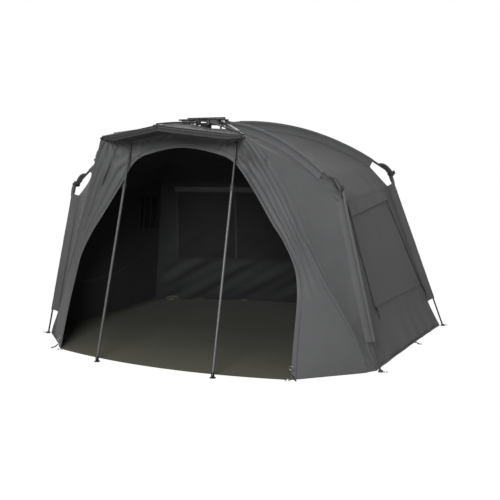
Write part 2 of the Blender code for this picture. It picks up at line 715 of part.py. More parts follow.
def grid_body(name, outer, inner, surface):
    """A closed sheet between two grids of points, split along the same diagonals so that its walls stay apart."""
    rows, cols = len(outer), len(outer[0])
    vertices = [p for row in outer for p in row] + [p for row in inner for p in row]
    back = rows * cols
    faces = []
    for i in range(rows - 1):
        for j in range(cols - 1):
            a, b = i * cols + j, i * cols + j + 1
            c, d = (i + 1) * cols + j + 1, (i + 1) * cols + j
            if (vertices[a] - vertices[c]).length > (vertices[b] - vertices[d]).length:
                a, b, c, d = b, c, d, a
            for p, q, r in ((a, b, c), (a, c, d)):
                faces += [(p, q, r), (back + r, back + q, back + p)]
    edge = [j for j in range(cols)]
    edge += [i * cols + cols - 1 for i in range(1, rows)]
    edge += [(rows - 1) * cols + j for j in range(cols - 2, -1, -1)]
    edge += [i * cols for i in range(rows - 2, 0, -1)]
    for a, b in zip(edge, edge[1:] + edge[:1]):
        faces.append((b, a, back + a, back + b))
    return add_object(name, vertices, faces, surface, 60.0)


def panel(name, grid, surface):
    outer = trim(grid)
    inner = [[point + inward_step(point) for point in row] for row in outer]
    return grid_body(name, outer, inner, surface)


def bow(share):
    return 4 * share * (1 - share)


def row_places():
    """The rows of a rib's fabric curve, counted in stretches from the crown."""
    elbow = [ARM_ROWS - 1 + INSET_EDGE, ARM_ROWS, ARM_ROWS + 1 - INSET_EDGE]
    return list(range(ARM_ROWS)) + elbow + list(range(ARM_ROWS + 1, ARM_ROWS + LEG_ROWS + 1))


def with_elbow_rows(curve):
    """A panel's free edge with rows to match those that a rib's curve has beside its elbow."""
    before, middle, after = curve[ARM_ROWS - 1:ARM_ROWS + 2]
    rows = [before.lerp(middle, INSET_EDGE), middle, middle.lerp(after, 1 - INSET_EDGE)]
    return curve[:ARM_ROWS] + rows + curve[ARM_ROWS + 1:]


def spread(first, last, cols, sag, insets):
    """Rows of points from one edge curve to the other; sag(row share, column share) moves them.

    insets move the two edges where the ribs' elbows are bare.
    """
    grid = []
    for index, (place, a, b) in enumerate(zip(row_places(), first, last)):
        row = []
        for j in range(cols + 1):
            share = j / cols
            row.append(a.lerp(b, share) + sag(place / (ARM_ROWS + LEG_ROWS), share))
        if ARM_ROWS <= index < ARM_ROWS + BARE_ROWS:
            row[0] += insets[0]
            row[-1] += insets[1]
        grid.append(row)
    return grid


def wall_split():
    return ARM_ROWS / (ARM_ROWS + LEG_ROWS)


def side_sag(side):
    def sag(down, across):
        roof = max(0.0, 1 - abs(down / wall_split() - 0.55) / 0.55)
        wall = max(0.0, down - wall_split())
        return (UP * (-ROOF_SAG * roof) + Vector((-side * WALL_SAG * min(1.0, wall * 6), 0, 0))) * bow(across)
    return sag


def back_bow(down, across):
    top = min(1.0, down / wall_split())
    wall = max(0.0, down - wall_split()) / (1 - wall_split())
    hem = BACK_HEM_Y - BACK_FOOT[1]
    reach = BACK_WAIST_BOW * top ** 2 + (hem - BACK_WAIST_BOW) * wall ** 1.15
    sink = -ROOF_SAG * max(0.0, 1 - abs(down / wall_split() - 0.5) / 0.5)
    return (Vector((0, reach, 0)) + UP * sink) * bow(across)


def crease_curve(side):
    tip = Vector(PEAK_TIP) - UP * (PEAK_R + FABRIC_SEAT)
    path = [tip] + [Vector(p) for p in CREASE] + [Vector((*CREASE_END, HEM_Z))]
    points = along_path(smooth_path(path), LEG_ROWS + 2)
    return points[1:] if side > 0 else mirrored(points[1:])


def arch_curve():
    """The doorway's edge on the right, from the ground to the middle of the arch."""
    path = [Vector((*ARCH_FOOT, HEM_Z))] + [Vector(p) for p in ARCH_SIDE]
    path += [Vector(ARCH_SHOULDER), Vector(ARCH_CROWN)]
    fine = smooth_path(path)
    rise = along_path(fine, LEG_ROWS + 2, 0.0, ARCH_SPLIT)
    over = along_path(fine, ARCH_ROWS + 1, ARCH_SPLIT, 1.0)
    return rise + over[1:]


def face_outline():
    """The door face's outer edge on the right: up the crease to the corner, then under the peak."""
    tip = Vector(PEAK_TIP) - UP * (PEAK_R + FABRIC_SEAT)
    tip += (Vector(FACE_POCKET) - tip).normalized() * FACE_TIP_BACK - UP * FACE_TIP_DROP
    rise = list(reversed(crease_curve(1))) + [tip]
    under = smooth_path([tip, Vector(FACE_POCKET), Vector(FACE_SHOULDER), Vector(FACE_TOP)], 10)
    return rise + along_path(under, ARCH_ROWS + 1)[1:]


def face_grid():
    edge, outline = arch_curve(), face_outline()
    rows = []
    for i, (a, b) in enumerate(zip(edge, outline)):
        deep = FACE_RECESS * min(1.0, max(0.0, (i - LEG_ROWS + 2) / 3)) * (1 - i / len(edge) * 0.5)
        rows.append([a.lerp(b, j / FACE_COLS) + Vector((0, deep * bow(j / FACE_COLS), 0))
                     for j in range(FACE_COLS + 1)])
    return rows + [mirrored(row) for row in reversed(rows[:-1])]


def make_fabric(ribs, peaks):
    right, left = ribs["front_right"].fabric_curve(), ribs["front_left"].fabric_curve()
    back_right, back_left = ribs["back_right"].fabric_curve(), ribs["back_left"].fabric_curve()
    inset = {name: rib.bare_inset() for name, rib in ribs.items()}
    panel("side_panel_right", spread(right, back_right, SIDE_COLS, side_sag(1),
                                     (inset["front_right"], inset["back_right"])), canopy_cloth())
    panel("side_panel_left", spread(left, back_left, SIDE_COLS, side_sag(-1),
                                    (inset["front_left"], inset["back_left"])), canopy_cloth())
    panel("back_panel", spread(back_right, back_left, BACK_COLS, back_bow,
                               (inset["back_right"], inset["back_left"])), canopy_cloth())
    for label, side, front in (("right", 1, right), ("left", -1, left)):
        edge = with_elbow_rows(peaks[label].fabric_curve() + crease_curve(side))
        sink = FOCUS - Vector((side * BACK_FOOT[0], FRONT_FOOT[1], FRONT_ELBOW_Z))
        sink = sink.normalized() * WING_SAG
        panel("front_wing_" + label, spread(edge, front, WING_COLS, lambda d, a: sink * bow(a) * bow(d),
                                            (Vector(), inset["front_" + label])), canopy_cloth())
    panel("door_face", face_grid(), canopy_cloth())
    make_hood(peaks)
    make_crown(ribs, peaks)


def make_hood(peaks):
    """The peak over the doorway, with the fascia that hangs from its front edge."""
    curves = [peaks[name].fabric_curve() for name in ("right", "centre", "left")]
    half = HOOD_COLS // 2
    grid = []
    for i in range(ARM_ROWS):
        sink = UP * (-HOOD_SAG * min(1.0, 2 * i / ARM_ROWS))
        row = [curves[0][i].lerp(curves[1][i], j / half) + sink * bow(j / half) for j in range(half)]
        row += [curves[1][i].lerp(curves[2][i], j / half) + sink * bow(j / half) for j in range(half + 1)]
        grid.append(row)
    edge = grid[-1]
    for step in (0.5, 1.0):
        row = []
        for j, point in enumerate(edge):
            share = FASCIA_TIP_SHARE + (1 - FASCIA_TIP_SHARE) * min(1.0, min(j, HOOD_COLS - j) / 2)
            row.append(point + Vector((0, FASCIA_BACK * step * (share - 0.6), -FASCIA_DROP * share * step)))
        grid.append(row)
    panel("peak_hood", grid, canopy_cloth())


def make_crown(ribs, peaks):
    """The small centre panel under the hub, inside the ring where the other panels end."""
    ring = [peaks["right"].fabric_curve()[0], ribs["front_right"].fabric_curve()[0],
            ribs["back_right"].fabric_curve()[0], ribs["back_left"].fabric_curve()[0],
            ribs["front_left"].fabric_curve()[0], peaks["left"].fabric_curve()[0],
            peaks["centre"].fabric_curve()[0]]
    middle = sum(ring, Vector()) / len(ring)
    top = [p + (middle - p).normalized() * (FABRIC + SEAM_GAP) for p in ring]
    low = [p - UP * FABRIC for p in top]
    add_object("crown_panel", *loft([low, top]), canopy_cloth())


def floor_outline(ribs):
    """The groundsheet's edge, from the left of the back round the front to the right of the back."""
    right = ribs["front_right"].fabric_curve()[-1]
    corner = ribs["back_right"].fabric_curve()[-1]
    left = ribs["front_left"].fabric_curve()[-1]
    left_corner = ribs["back_left"].fabric_curve()[-1]
    inset = FABRIC * 2
    front = []
    for i in range(17):
        x = -ARCH_FOOT[0] + 2 * ARCH_FOOT[0] * i / 16
        y = THRESHOLD_Y + (ARCH_FOOT[1] - THRESHOLD_Y - inset) * (x / ARCH_FOOT[0]) ** 2
        front.append(Vector((x, y, 0)))
    back = []
    for i in range(25):
        share = i / 24
        base = corner.lerp(left_corner, share)
        depth = (BACK_HEM_Y - BACK_FOOT[1]) * bow(share) - LIP_INSET * (0.5 + 0.5 * bow(share))
        pull = 1 - LIP_SIDE_INSET / BACK_FOOT[0]
        back.append(Vector((base.x * pull, base.y + depth, 0)))
    outline = [Vector((left.x + inset, left.y, 0)), Vector((-CREASE_END[0], CREASE_END[1] - inset, 0))]
    outline += front
    outline += [Vector((CREASE_END[0], CREASE_END[1] - inset, 0)), Vector((right.x - inset, right.y, 0))]
    return outline, back


def make_groundsheet(ribs):
    """A floor sheet whose back edge turns up into a lip inside the back wall."""
    front, back = floor_outline(ribs)
    outline = front + back
    count = len(outline)
    vertices = [Vector((p.x, p.y, 0)) for p in outline] + [Vector((p.x, p.y, GROUNDSHEET)) for p in outline]
    faces = [tuple(range(count - 1, -1, -1)), tuple(range(count, 2 * count))]
    first = len(front)
    chains = []
    for i in range(first, count):
        outward = Vector((0, 1, 0))
        stations = [(LIP_LEAN, GROUNDSHEET), (LIP_LEAN * 0.9, LIP_HEIGHT), (LIP_LEAN * 0.9 - FABRIC, LIP_HEIGHT),
                    (LIP_LEAN - FABRIC * 2, GROUNDSHEET * 2)]
        chain = [i]
        for away, high in stations:
            vertices.append(outline[i] + outward * away + UP * high)
            chain.append(len(vertices) - 1)
        chain.append(count + i)
        chains.append(chain)
    for i in range(count):
        j = (i + 1) % count
        if i < first or j < first:
            faces.append((i, j, count + j, count + i))
        else:
            a, b = chains[i - first], chains[j - first]
            faces += [(a[k], b[k], b[k + 1], a[k + 1]) for k in range(len(a) - 1)]
    faces.append(tuple(chains[0]))
    faces.append(tuple(chains[-1]))
    add_object("groundsheet", vertices, faces, inner_cloth())


def wall_point(side, ribs, down, across, lift):
    """A point of the side wall, down its legs and across from front to back, lifted outward."""
    label = "right" if side > 0 else "left"
    a = ribs["front_" + label].inside_leg(down, LEG_R + FABRIC_SEAT + FOOT_CLEAR * down ** 6)
    b = ribs["back_" + label].inside_leg(down, LEG_R + FABRIC_SEAT + FOOT_CLEAR * down ** 6)
    row = (down - WALL_TOP_SHARE) / (WALL_HEM_SHARE - WALL_TOP_SHARE) * (LEG_ROWS - 1) + ARM_ROWS + 1
    sag = side_sag(side)(row / (ARM_ROWS + LEG_ROWS), across)
    point = a.lerp(b, across) + sag
    return point - inward_step(point).normalized() * lift


def wall_patch(name, side, ribs, downs, spans, lifts, cols, surface):
    """A thin sheet that follows the side wall, for the window cover and its rain flap."""
    outer, inner = [], []
    for down, (start, end), lift in zip(downs, spans, lifts):
        shares = [start + (end - start) * j / cols for j in range(cols + 1)]
        inner.append([wall_point(side, ribs, down, s, lift) for s in shares])
        outer.append([wall_point(side, ribs, down, s, lift + COVER_THICK) for s in shares])
    return grid_body(name, outer, inner, surface)


def cover_span(share):
    return tuple(a + (b - a) * share for a, b in zip(COVER_TOP_SHARES, COVER_BOTTOM_SHARES))


def make_window(label, side, ribs):
    rows = 5
    shares = [i / rows for i in range(rows + 1)]
    downs = [COVER_TOP_SHARE + (COVER_BOTTOM_SHARE - COVER_TOP_SHARE) * share for share in shares]
    wall_patch("window_cover_" + label, side, ribs, downs, [cover_span(s) for s in shares],
               [COVER_LIFT] * (rows + 1), 8, canopy_cloth())
    flap_downs = [FLAP_TOP_SHARE, (FLAP_TOP_SHARE + COVER_TOP_SHARE) / 2, COVER_TOP_SHARE - FLAP_GAP]
    top = (COVER_TOP_SHARES[0] - 0.01, COVER_TOP_SHARES[1] + 0.01)
    wall_patch("rain_flap_" + label, side, ribs, flap_downs, [top] * 3,
               [GAP, FLAP_LIFT / 2, FLAP_LIFT], 8, canopy_cloth())
    for place, share in (("front", COVER_BOTTOM_SHARES[0]), ("back", COVER_BOTTOM_SHARES[1])):
        inset = SLIDER_INSET if place == "front" else -SLIDER_INSET
        low = wall_point(side, ribs, COVER_BOTTOM_SHARE - SLIDER_RISE, share + inset, COVER_LIFT + COVER_THICK + GAP)
        high = wall_point(side, ribs, COVER_TOP_SHARE, cover_span(0)[0 if place == "front" else 1] + inset,
                          COVER_LIFT + COVER_THICK + GAP)
        along = (high - low).normalized()
        face = -inward_step(low).normalized()
        across = along.cross(face).normalized()
        face = across.cross(along)
        brick(f"zip_slider_{label}_{place}", low + face * (SLIDER_HALF[2] + SLIDER_CLEAR),
              (across, along, face), SLIDER_HALF, black_plastic())


def main():
    clear_scene()
    ribs = make_ribs()
    peaks = make_peaks()
    make_hub(ribs, peaks)
    for rib in ribs.values():
        inward = make_arm(rib)
        make_elbow(rib, inward)
        make_leg(rib)
    for peak in peaks.values():
        make_peak_rib(peak)
    for label, side in (("right", 1), ("left", -1)):
        make_pole(Pole(label, side))
        make_window(label, side, ribs)
    make_fabric(ribs, peaks)
    make_groundsheet(ribs)


main()
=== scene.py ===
"""Looks of the fishing brolly shelter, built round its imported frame."""
import math

import bmesh
import bpy
from mathutils import Matrix, Vector, noise


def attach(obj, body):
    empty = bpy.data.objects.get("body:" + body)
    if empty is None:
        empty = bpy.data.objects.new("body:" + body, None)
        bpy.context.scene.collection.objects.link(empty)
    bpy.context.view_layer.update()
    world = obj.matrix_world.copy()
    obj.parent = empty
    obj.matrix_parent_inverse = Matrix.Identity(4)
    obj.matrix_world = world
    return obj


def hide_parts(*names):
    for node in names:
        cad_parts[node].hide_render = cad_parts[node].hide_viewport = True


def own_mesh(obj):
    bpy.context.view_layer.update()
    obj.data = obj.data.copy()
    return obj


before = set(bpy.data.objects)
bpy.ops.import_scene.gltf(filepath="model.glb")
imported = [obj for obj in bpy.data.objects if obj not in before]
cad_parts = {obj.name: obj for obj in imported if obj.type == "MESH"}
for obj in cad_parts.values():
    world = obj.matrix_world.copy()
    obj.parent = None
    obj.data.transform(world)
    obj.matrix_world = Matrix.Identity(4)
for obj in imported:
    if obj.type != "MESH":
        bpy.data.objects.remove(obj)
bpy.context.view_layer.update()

X_AXIS = Vector((1.0, 0.0, 0.0))
Y_AXIS = Vector((0.0, 1.0, 0.0))
UP = Vector((0.0, 0.0, 1.0))
SIDES = (("right", 1), ("left", -1))

# Each panel's grid, kept for the trim that lies on it
GRIDS = {}

# The photograph's camera
CAMERA_PLACE = (2.5105, -4.3901, 1.2148)
CAMERA_TURN = 26.62
CAMERA_TILT = -6.572
CAMERA_LENS = 56.73

# The light: the dome's strength, and each lamp's place, aim, size and power
DOME = 0.22
LAMPS = [
    ("key", (1.9, -5.9, 3.0), (0.2, 0.2, 0.7), (2.2, 1.8), 430),
    ("rear", (-2.2, 7.0, 3.4), (0.0, 0.6, 0.7), (3.0, 2.4), 190),
    ("top", (0.0, -0.6, 5.2), (0.0, 0.4, 1.0), (3.0, 3.0), 45),
]
FLOOR_HALF = 14.0

# Main sizes of the frame, as in the CAD model
PIVOT_Z = 1.440
ARM_R = 0.0075
LEG_R = 0.0080
PEAK_R = 0.0050
FABRIC_SEAT = 0.0007
LEG_OFFSET = 0.028
FRONT = {"pivot": (0.120, -0.070), "foot": (1.200, -0.130), "reach": 0.826, "elbow_z": 1.045, "bow": 0.100,
         "leg_cover": 0.835}
BACK = {"pivot": (0.125, 0.040), "foot": (1.248, 1.314), "reach": 1.218, "elbow_z": 1.115, "bow": 0.112,
        "leg_cover": 0.810}
PEAK_PIVOT = (0.075, -0.100)
PEAK_TIP = (0.489, -0.435, 1.352)
PEAK_CENTRE_TIP = (0.0, -0.570, 1.414)
PEAK_BOW = 0.006
CROWN_Z = 1.400
CROWN_SHARE = 0.055
HEM_Z = 0.0035

# Rows of the fabric from the crown to the hem, and the fine steps between two rows
ARM_ROWS = 7
LEG_ROWS = 7
STEPS = 6
ELBOW_ROW = ARM_ROWS / (ARM_ROWS + LEG_ROWS)
SLEEVE_SHARE = 0.875
SLEEVE_TOP = 0.060
SLEEVE_DEPTH = 0.040
SLEEVE_ROOM = 0.0022
HEM_SHARE = 0.985
FOOT_CLEAR = 0.012

# Columns of the panels, and rows of the door face up its side and over the doorway
SIDE_COLS = 72
BACK_COLS = 110
WING_COLS = 56
FACE_COLS = 34
FACE_SIDE_ROWS = 56
FACE_TOP_ROWS = 48

# Cloth outlines
CREASE = [(0.625, -0.368, 1.114), (0.781, -0.307, 0.783), (0.919, -0.249, 0.505), (1.062, -0.183, 0.238)]
CREASE_END = (1.140, -0.160)
ARCH_FOOT = (0.810, -0.490)
ARCH_SIDE = [(0.801, -0.451, 0.150), (0.795, -0.404, 0.300), (0.784, -0.354, 0.450), (0.755, -0.323, 0.600),
             (0.675, -0.307, 0.750), (0.601, -0.302, 0.850), (0.463, -0.282, 1.050), (0.345, -0.290, 1.200)]
ARCH_CROWN = (0.0, -0.301, 1.284)
ARCH_SHOULDER = (0.200, -0.298, 1.256)
FACE_TOP = (0.0, -0.280, 1.378)
FACE_SHOULDER = (0.240, -0.280, 1.352)
FACE_POCKET = (0.375, -0.300, 1.326)
BACK_HEM_Y = 1.700
BACK_WAIST_BOW = 0.090
THRESHOLD_Y = -0.604
SKIRT_TOP = 0.833
SHELTER_MIDDLE = Vector((0, 0.35, 0.5))
WING_MIDDLE = (1.1, -0.13, 1.0)

# Cloth thickness and sags
CLOTH = 0.0009
ROOF_SAG = 0.030
WALL_SAG = 0.008
WING_SAG = 0.010
HOOD_SAG = 0.014
FACE_RECESS = 0.022

# How far a material's roughness varies over a piece
ROUGH_VARY = 0.06


def new_material(name):
    material = bpy.data.materials.new(name)
    material.use_nodes = True
    tree = material.node_tree
    return material, tree, tree.nodes["Principled BSDF"]


def link(tree, a, b):
    tree.links.new(a, b)


def add_node(tree, kind, **values):
    """A node with its settings and inputs; an underscore in a name stands for a space."""
    made = tree.nodes.new(kind)
    for name, value in values.items():
        if hasattr(made, name):
            setattr(made, name, value)
        else:
            made.inputs[name.replace("_", " ")].default_value = value
    return made


def joined(tree, operation, a, b):
    """The sum of two values, or another operation on them."""
    made = add_node(tree, "ShaderNodeMath", operation=operation)
    link(tree, a, made.inputs[0])
    link(tree, b, made.inputs[1])
    return made.outputs[0]


def noise_at(tree, where, **values):
    made = add_node(tree, "ShaderNodeTexNoise", **values)
    link(tree, where, made.inputs["Vector"])
    return made.outputs["Fac"]


def map_range(tree, value, **limits):
    made = add_node(tree, "ShaderNodeMapRange", **limits)
    link(tree, value, made.inputs["Value"])
    return made.outputs["Result"]


def bumped(tree, height, strength, distance, normal=None):
    """Fine relief, on top of the relief that normal has."""
    made = add_node(tree, "ShaderNodeBump", Strength=strength, Distance=distance)
    link(tree, height, made.inputs["Height"])
    if normal is not None:
        link(tree, normal, made.inputs["Normal"])
    return made.outputs["Normal"]


def two_tones(tree, factor, color, places, vary):
    """A colour that turns from darker to lighter between two places of the factor."""
    made = tree.nodes.new("ShaderNodeValToRGB")
    for element, place, share in zip(made.color_ramp.elements, places, (1 - vary, 1 + vary)):
        element.position = place
        element.color = (*[c * share for c in color], 1)
    link(tree, factor, made.inputs["Fac"])
    return made.outputs["Color"]


def painted_light_fade_tone(tree, where, tone, painted_light_fade):
    """A tone scaled along Y, as painted light and shade: the last argument says between which places, and the
    scale at each.
    """
    place = add_node(tree, "ShaderNodeSeparateXYZ")
    link(tree, where, place.inputs[0])
    limits = dict(zip(("From_Min", "From_Max", "To_Min", "To_Max"), painted_light_fade))
    scaled = add_node(tree, "ShaderNodeVectorMath", operation="SCALE")
    link(tree, tone, scaled.inputs[0])
    link(tree, map_range(tree, place.outputs["Y"], **limits), scaled.inputs["Scale"])
    return scaled.outputs[0]


def thread_wave(tree, where, axis, weave):
    """Waves along one axis, about one to a thread."""
    wave = add_node(tree, "ShaderNodeTexWave", wave_type="BANDS", bands_direction=axis, Scale=0.314 / weave,
                    Distortion=0.35, Detail=1.0, Detail_Scale=2.0)
    link(tree, where, wave.inputs["Vector"])
    return wave.outputs["Fac"]


def cloth_material(name, color, roughness, weave=0.0009, vary=0.10, bump=0.25, painted_light_fade=None):
    """Woven cloth: a fine plain weave, faint blotches of colour, and soft creases."""
    material, tree, shader = new_material(name)
    where = add_node(tree, "ShaderNodeTexCoord").outputs["Object"]
    blotch = noise_at(tree, where, Scale=3.2, Detail=4.0, Roughness=0.55)
    fleck = noise_at(tree, where, Scale=420.0, Detail=2.0, Roughness=0.6)
    both = add_node(tree, "ShaderNodeMix", data_type="FLOAT", Factor=0.35)
    link(tree, blotch, both.inputs["A"])
    link(tree, fleck, both.inputs["B"])
    tone = two_tones(tree, both.outputs["Result"], color, (0.30, 0.70), vary)
    # Painted light and shade: the tone is scaled along Y, lighter at one end and darker at the other
    if painted_light_fade:
        tone = painted_light_fade_tone(tree, where, tone, painted_light_fade)
    link(tree, tone, shader.inputs["Base Color"])
    rough = map_range(tree, blotch, To_Min=roughness - ROUGH_VARY, To_Max=roughness + ROUGH_VARY)
    link(tree, rough, shader.inputs["Roughness"])
    waves = [thread_wave(tree, where, axis, weave) for axis in ("X", "Y", "Z")]
    threads = joined(tree, "ADD", joined(tree, "ADD", waves[0], waves[1]), waves[2])
    crease = noise_at(tree, where, Scale=11.0, Detail=5.0, Roughness=0.6, Distortion=0.6)
    normal = bumped(tree, crease, 0.30, 0.004, bumped(tree, threads, bump, 0.0002))
    link(tree, normal, shader.inputs["Normal"])
    for setting, value in (("Sheen Weight", 0.05), ("Sheen Roughness", 0.45), ("Specular IOR Level", 0.12)):
        shader.inputs[setting].default_value = value
    return material


def hard_material(name, color, roughness, metallic=0.0, grain=900.0):
    """Moulded plastic, paint or metal: fine grain, and roughness that varies with handling."""
    material, tree, shader = new_material(name)
    where = add_node(tree, "ShaderNodeTexCoord").outputs["Object"]
    smear = noise_at(tree, where, Scale=26.0, Detail=6.0, Roughness=0.62)
    link(tree, two_tones(tree, smear, color, (0.32, 0.68), 0.14), shader.inputs["Base Color"])
    rough = map_range(tree, smear, To_Min=roughness - ROUGH_VARY, To_Max=roughness + ROUGH_VARY)
    link(tree, rough, shader.inputs["Roughness"])
    fine = noise_at(tree, where, Scale=grain, Detail=3.0)
    link(tree, bumped(tree, fine, 0.08, 0.0003), shader.inputs["Normal"])
    shader.inputs["Metallic"].default_value = metallic
    return material


CANOPY = cloth_material("canopy_weave", (0.086, 0.087, 0.089), 0.62)
CANOPY_INSIDE = cloth_material("canopy_inside", (0.030, 0.030, 0.031), 0.66)
# The canopy cloth darkened as painted shade, for the peak's underside and the fascia's lower hem; the seams
# and straps inside the walls use it too
CANOPY_SHADE = cloth_material("canopy_painted_shade", (0.044, 0.045, 0.046), 0.64)
BINDING = cloth_material("binding_tape", (0.062, 0.063, 0.065), 0.70, weave=0.0014, vary=0.06)
WEBBING = cloth_material("webbing", (0.016, 0.016, 0.017), 0.72, weave=0.0022, vary=0.08, bump=0.5)
# The groundsheet, with painted light and shade: brighter at the front, darker towards the back inside the
# shelter
GROUND = cloth_material("groundsheet_weave", (0.062, 0.062, 0.045), 0.58, weave=0.0020, vary=0.08, bump=0.4,
                        painted_light_fade=(-0.60, 0.55, 1.36, 0.60))
GROUND_LIP = cloth_material("groundsheet_lip", (0.072, 0.072, 0.056), 0.56, weave=0.0020, vary=0.08, bump=0.4)
MESH_DARK = cloth_material("window_mesh", (0.024, 0.024, 0.025), 0.60, weave=0.0012, vary=0.05)
MESH_BLACK = cloth_material("black_mesh", (0.009, 0.009, 0.009), 0.70, weave=0.0012, vary=0.05)
CANOPY_BACK = cloth_material("canopy_back_inside", (0.036, 0.037, 0.038), 0.66)
PAINT = hard_material("black_paint", (0.024, 0.024, 0.025), 0.50)
ALLOY = hard_material("satin_alloy", (0.062, 0.062, 0.064), 0.45, 0.45, grain=1500.0)
STEEL = hard_material("pin_steel", (0.300, 0.300, 0.305), 0.30, 1.0, grain=1200.0)
PLASTIC = hard_material("moulded_plastic", (0.014, 0.014, 0.015), 0.58)
PLASTIC_GREY = hard_material("grey_plastic", (0.060, 0.060, 0.062), 0.50)
ALLOY_LIGHT = hard_material("bare_alloy", (0.150, 0.150, 0.153), 0.58, 0.0, grain=1500.0)
ZIP = hard_material("zip_teeth", (0.012, 0.012, 0.013), 0.45, grain=1600.0)


def new_mesh(name, points, faces, materials, indices=None, smooth=40.0):
    """An object from points and faces; edges that turn by more than smooth degrees stay sharp."""
    mesh = bpy.data.meshes.new(name)
    mesh.from_pydata([tuple(p) for p in points], [], faces)
    mesh.update()
    for made in materials:
        mesh.materials.append(made)
    if indices:
        for face, index in zip(mesh.polygons, indices):
            face.material_index = index
    mesh.shade_smooth()
    mesh.set_sharp_from_angle(angle=math.radians(smooth))
    made = bpy.data.objects.new(name, mesh)
    bpy.context.collection.objects.link(made)
    return made


def gathers(obj):
    """Gives a piece its own copy of its mesh."""
    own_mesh(obj)


def crumples(obj):
    """Cloth on the folding frame: it rides on the hub's body, with its own copy of its mesh."""
    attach(obj, "root")
    gathers(obj)


def mix(a, b, share):
    return a + (b - a) * share


def bow(share):
    return 4 * share * (1 - share)


def ease(low, high, value):
    share = min(1.0, max(0.0, (value - low) / (high - low)))
    return share * share * (3 - 2 * share)


def mirrored(points):
    return [Vector((-p.x, p.y, p.z)) for p in points]


def smooth_path(points, steps=STEPS):
    """A Catmull-Rom curve through the points, with the same number of steps in each stretch."""
    fine = []
    for k in range(len(points) - 1):
        before = points[max(k - 1, 0)]
        after = points[min(k + 2, len(points) - 1)]
        a, b = points[k], points[k + 1]
        for i in range(steps):
            t = i / steps
            fine.append(((2 * a) + (b - before) * t + (2 * before - 5 * a + 4 * b - after) * t ** 2
                         + (3 * a - before - 3 * b + after) * t ** 3) / 2)
    fine.append(points[-1].copy())
    return fine


def along_path(points, count, first=0.0, last=1.0):
    """Points at even shares of a path's length."""
    lengths = [0.0]
    for a, b in zip(points, points[1:]):
        lengths.append(lengths[-1] + (b - a).length)
    found = []
    for i in range(count):
        target = lengths[-1] * (first + (last - first) * i / (count - 1))
        k = max(j for j in range(len(points) - 1) if lengths[j] <= target + 1e-9)
        found.append(points[k].lerp(points[k + 1], (target - lengths[k]) / (lengths[k + 1] - lengths[k])))
    return found


class Rib:
    """A main rib: an arm from the hub to the elbow, and a leg from the elbow to the ground."""

    def __init__(self, name, side, sizes):
        self.name = name
        self.pivot = Vector((side * sizes["pivot"][0], sizes["pivot"][1], PIVOT_Z))
        foot_base = Vector((side * sizes["foot"][0], sizes["foot"][1], PIVOT_Z))
        self.reach = (foot_base - self.pivot).length
        self.out = (foot_base - self.pivot).normalized()
        self.across = UP.cross(self.out)
        self.elbow_reach = sizes["reach"]
        self.elbow_z = sizes["elbow_z"]
        self.bow = sizes["bow"]
        self.leg_cover = sizes["leg_cover"]
        self.elbow = self.place(self.elbow_reach, self.elbow_z)
        self.leg_top = self.place(self.elbow_reach, self.elbow_z, LEG_OFFSET)
        self.foot = self.place(self.reach, 0.0, LEG_OFFSET)
        self.leg_axis = (self.foot - self.leg_top).normalized()

    def place(self, reach, z, across=0.0):
        point = self.pivot + self.out * reach + self.across * across
        point.z = z
        return point

    def arm_point(self, share):
        rise = (self.elbow_z - PIVOT_Z) * share + 4 * self.bow * share * (1 - share)
        return self.place(self.elbow_reach * share, PIVOT_Z + rise)

    def arm_tangent(self, share):
        rise = (self.elbow_z - PIVOT_Z) + 4 * self.bow * (1 - 2 * share)
        return (self.out * self.elbow_reach + UP * rise).normalized()

    def under_arm(self, share, drop):
        return self.arm_point(share) + self.across.cross(self.arm_tangent(share)) * drop

    def inside_leg(self, share, inset):
        point = self.leg_top.lerp(self.foot, share)
        return point + self.across.cross(self.leg_axis) * inset

    def ridge(self):
        """Coarse points of the cloth's ridge, a sleeve's depth inside the tubes, from the hub to the hem."""
        rows = []
        for i in range(ARM_ROWS):
            share = mix(CROWN_SHARE, SLEEVE_SHARE, i / (ARM_ROWS - 1))
            rows.append(self.under_arm(share, ARM_R + SLEEVE_DEPTH))
        rows[0].z = CROWN_Z
        leg = []
        for i in range(LEG_ROWS):
            leg.append(self.leg_ridge(mix(SLEEVE_TOP, HEM_SHARE, i / (LEG_ROWS - 1))))
        leg[-1].z = HEM_Z
        return rows + [rows[-1].lerp(leg[0], 0.5)] + leg

    def leg_ridge(self, share):
        """The ridge beside the leg; below the sleeve it comes out to the foot."""
        free = ease(self.leg_cover, 1.0, share)
        return self.inside_leg(share, LEG_R + mix(SLEEVE_DEPTH, FOOT_CLEAR, free))

    def dense_ridge(self):
        """The ridge in fine steps, straight past the bare elbow."""
        fine = smooth_path(self.ridge(), STEPS)
        first, last = (ARM_ROWS - 1) * STEPS, (ARM_ROWS + 1) * STEPS
        for k in range(first + 1, last):
            fine[k] = fine[first].lerp(fine[last], (k - first) / (last - first))
        return fine


class Peak:
    """A short rib that carries the peak's edge."""

    def __init__(self, pivot, tip, slack):
        self.slack = slack
        self.pivot = Vector((pivot[0], pivot[1], PIVOT_Z))
        self.tip = Vector(tip)
        flat = Vector((self.tip.x - self.pivot.x, self.tip.y - self.pivot.y, 0))
        self.out = flat.normalized()

    def point(self, share):
        return self.pivot.lerp(self.tip, share) + UP * (4 * PEAK_BOW * share * (1 - share))

    def ridge(self):
        """The cloth's line under the rib; it hangs lower towards the hub."""
        rows = []
        for i in range(ARM_ROWS):
            share = i / (ARM_ROWS - 1)
            point = self.point(mix(CROWN_SHARE, 1.0, share))
            point.z -= PEAK_R + FABRIC_SEAT + self.slack * (1 - share)
            rows.append(point)
        return rows

    def dense_ridge(self):
        return smooth_path(self.ridge(), STEPS)


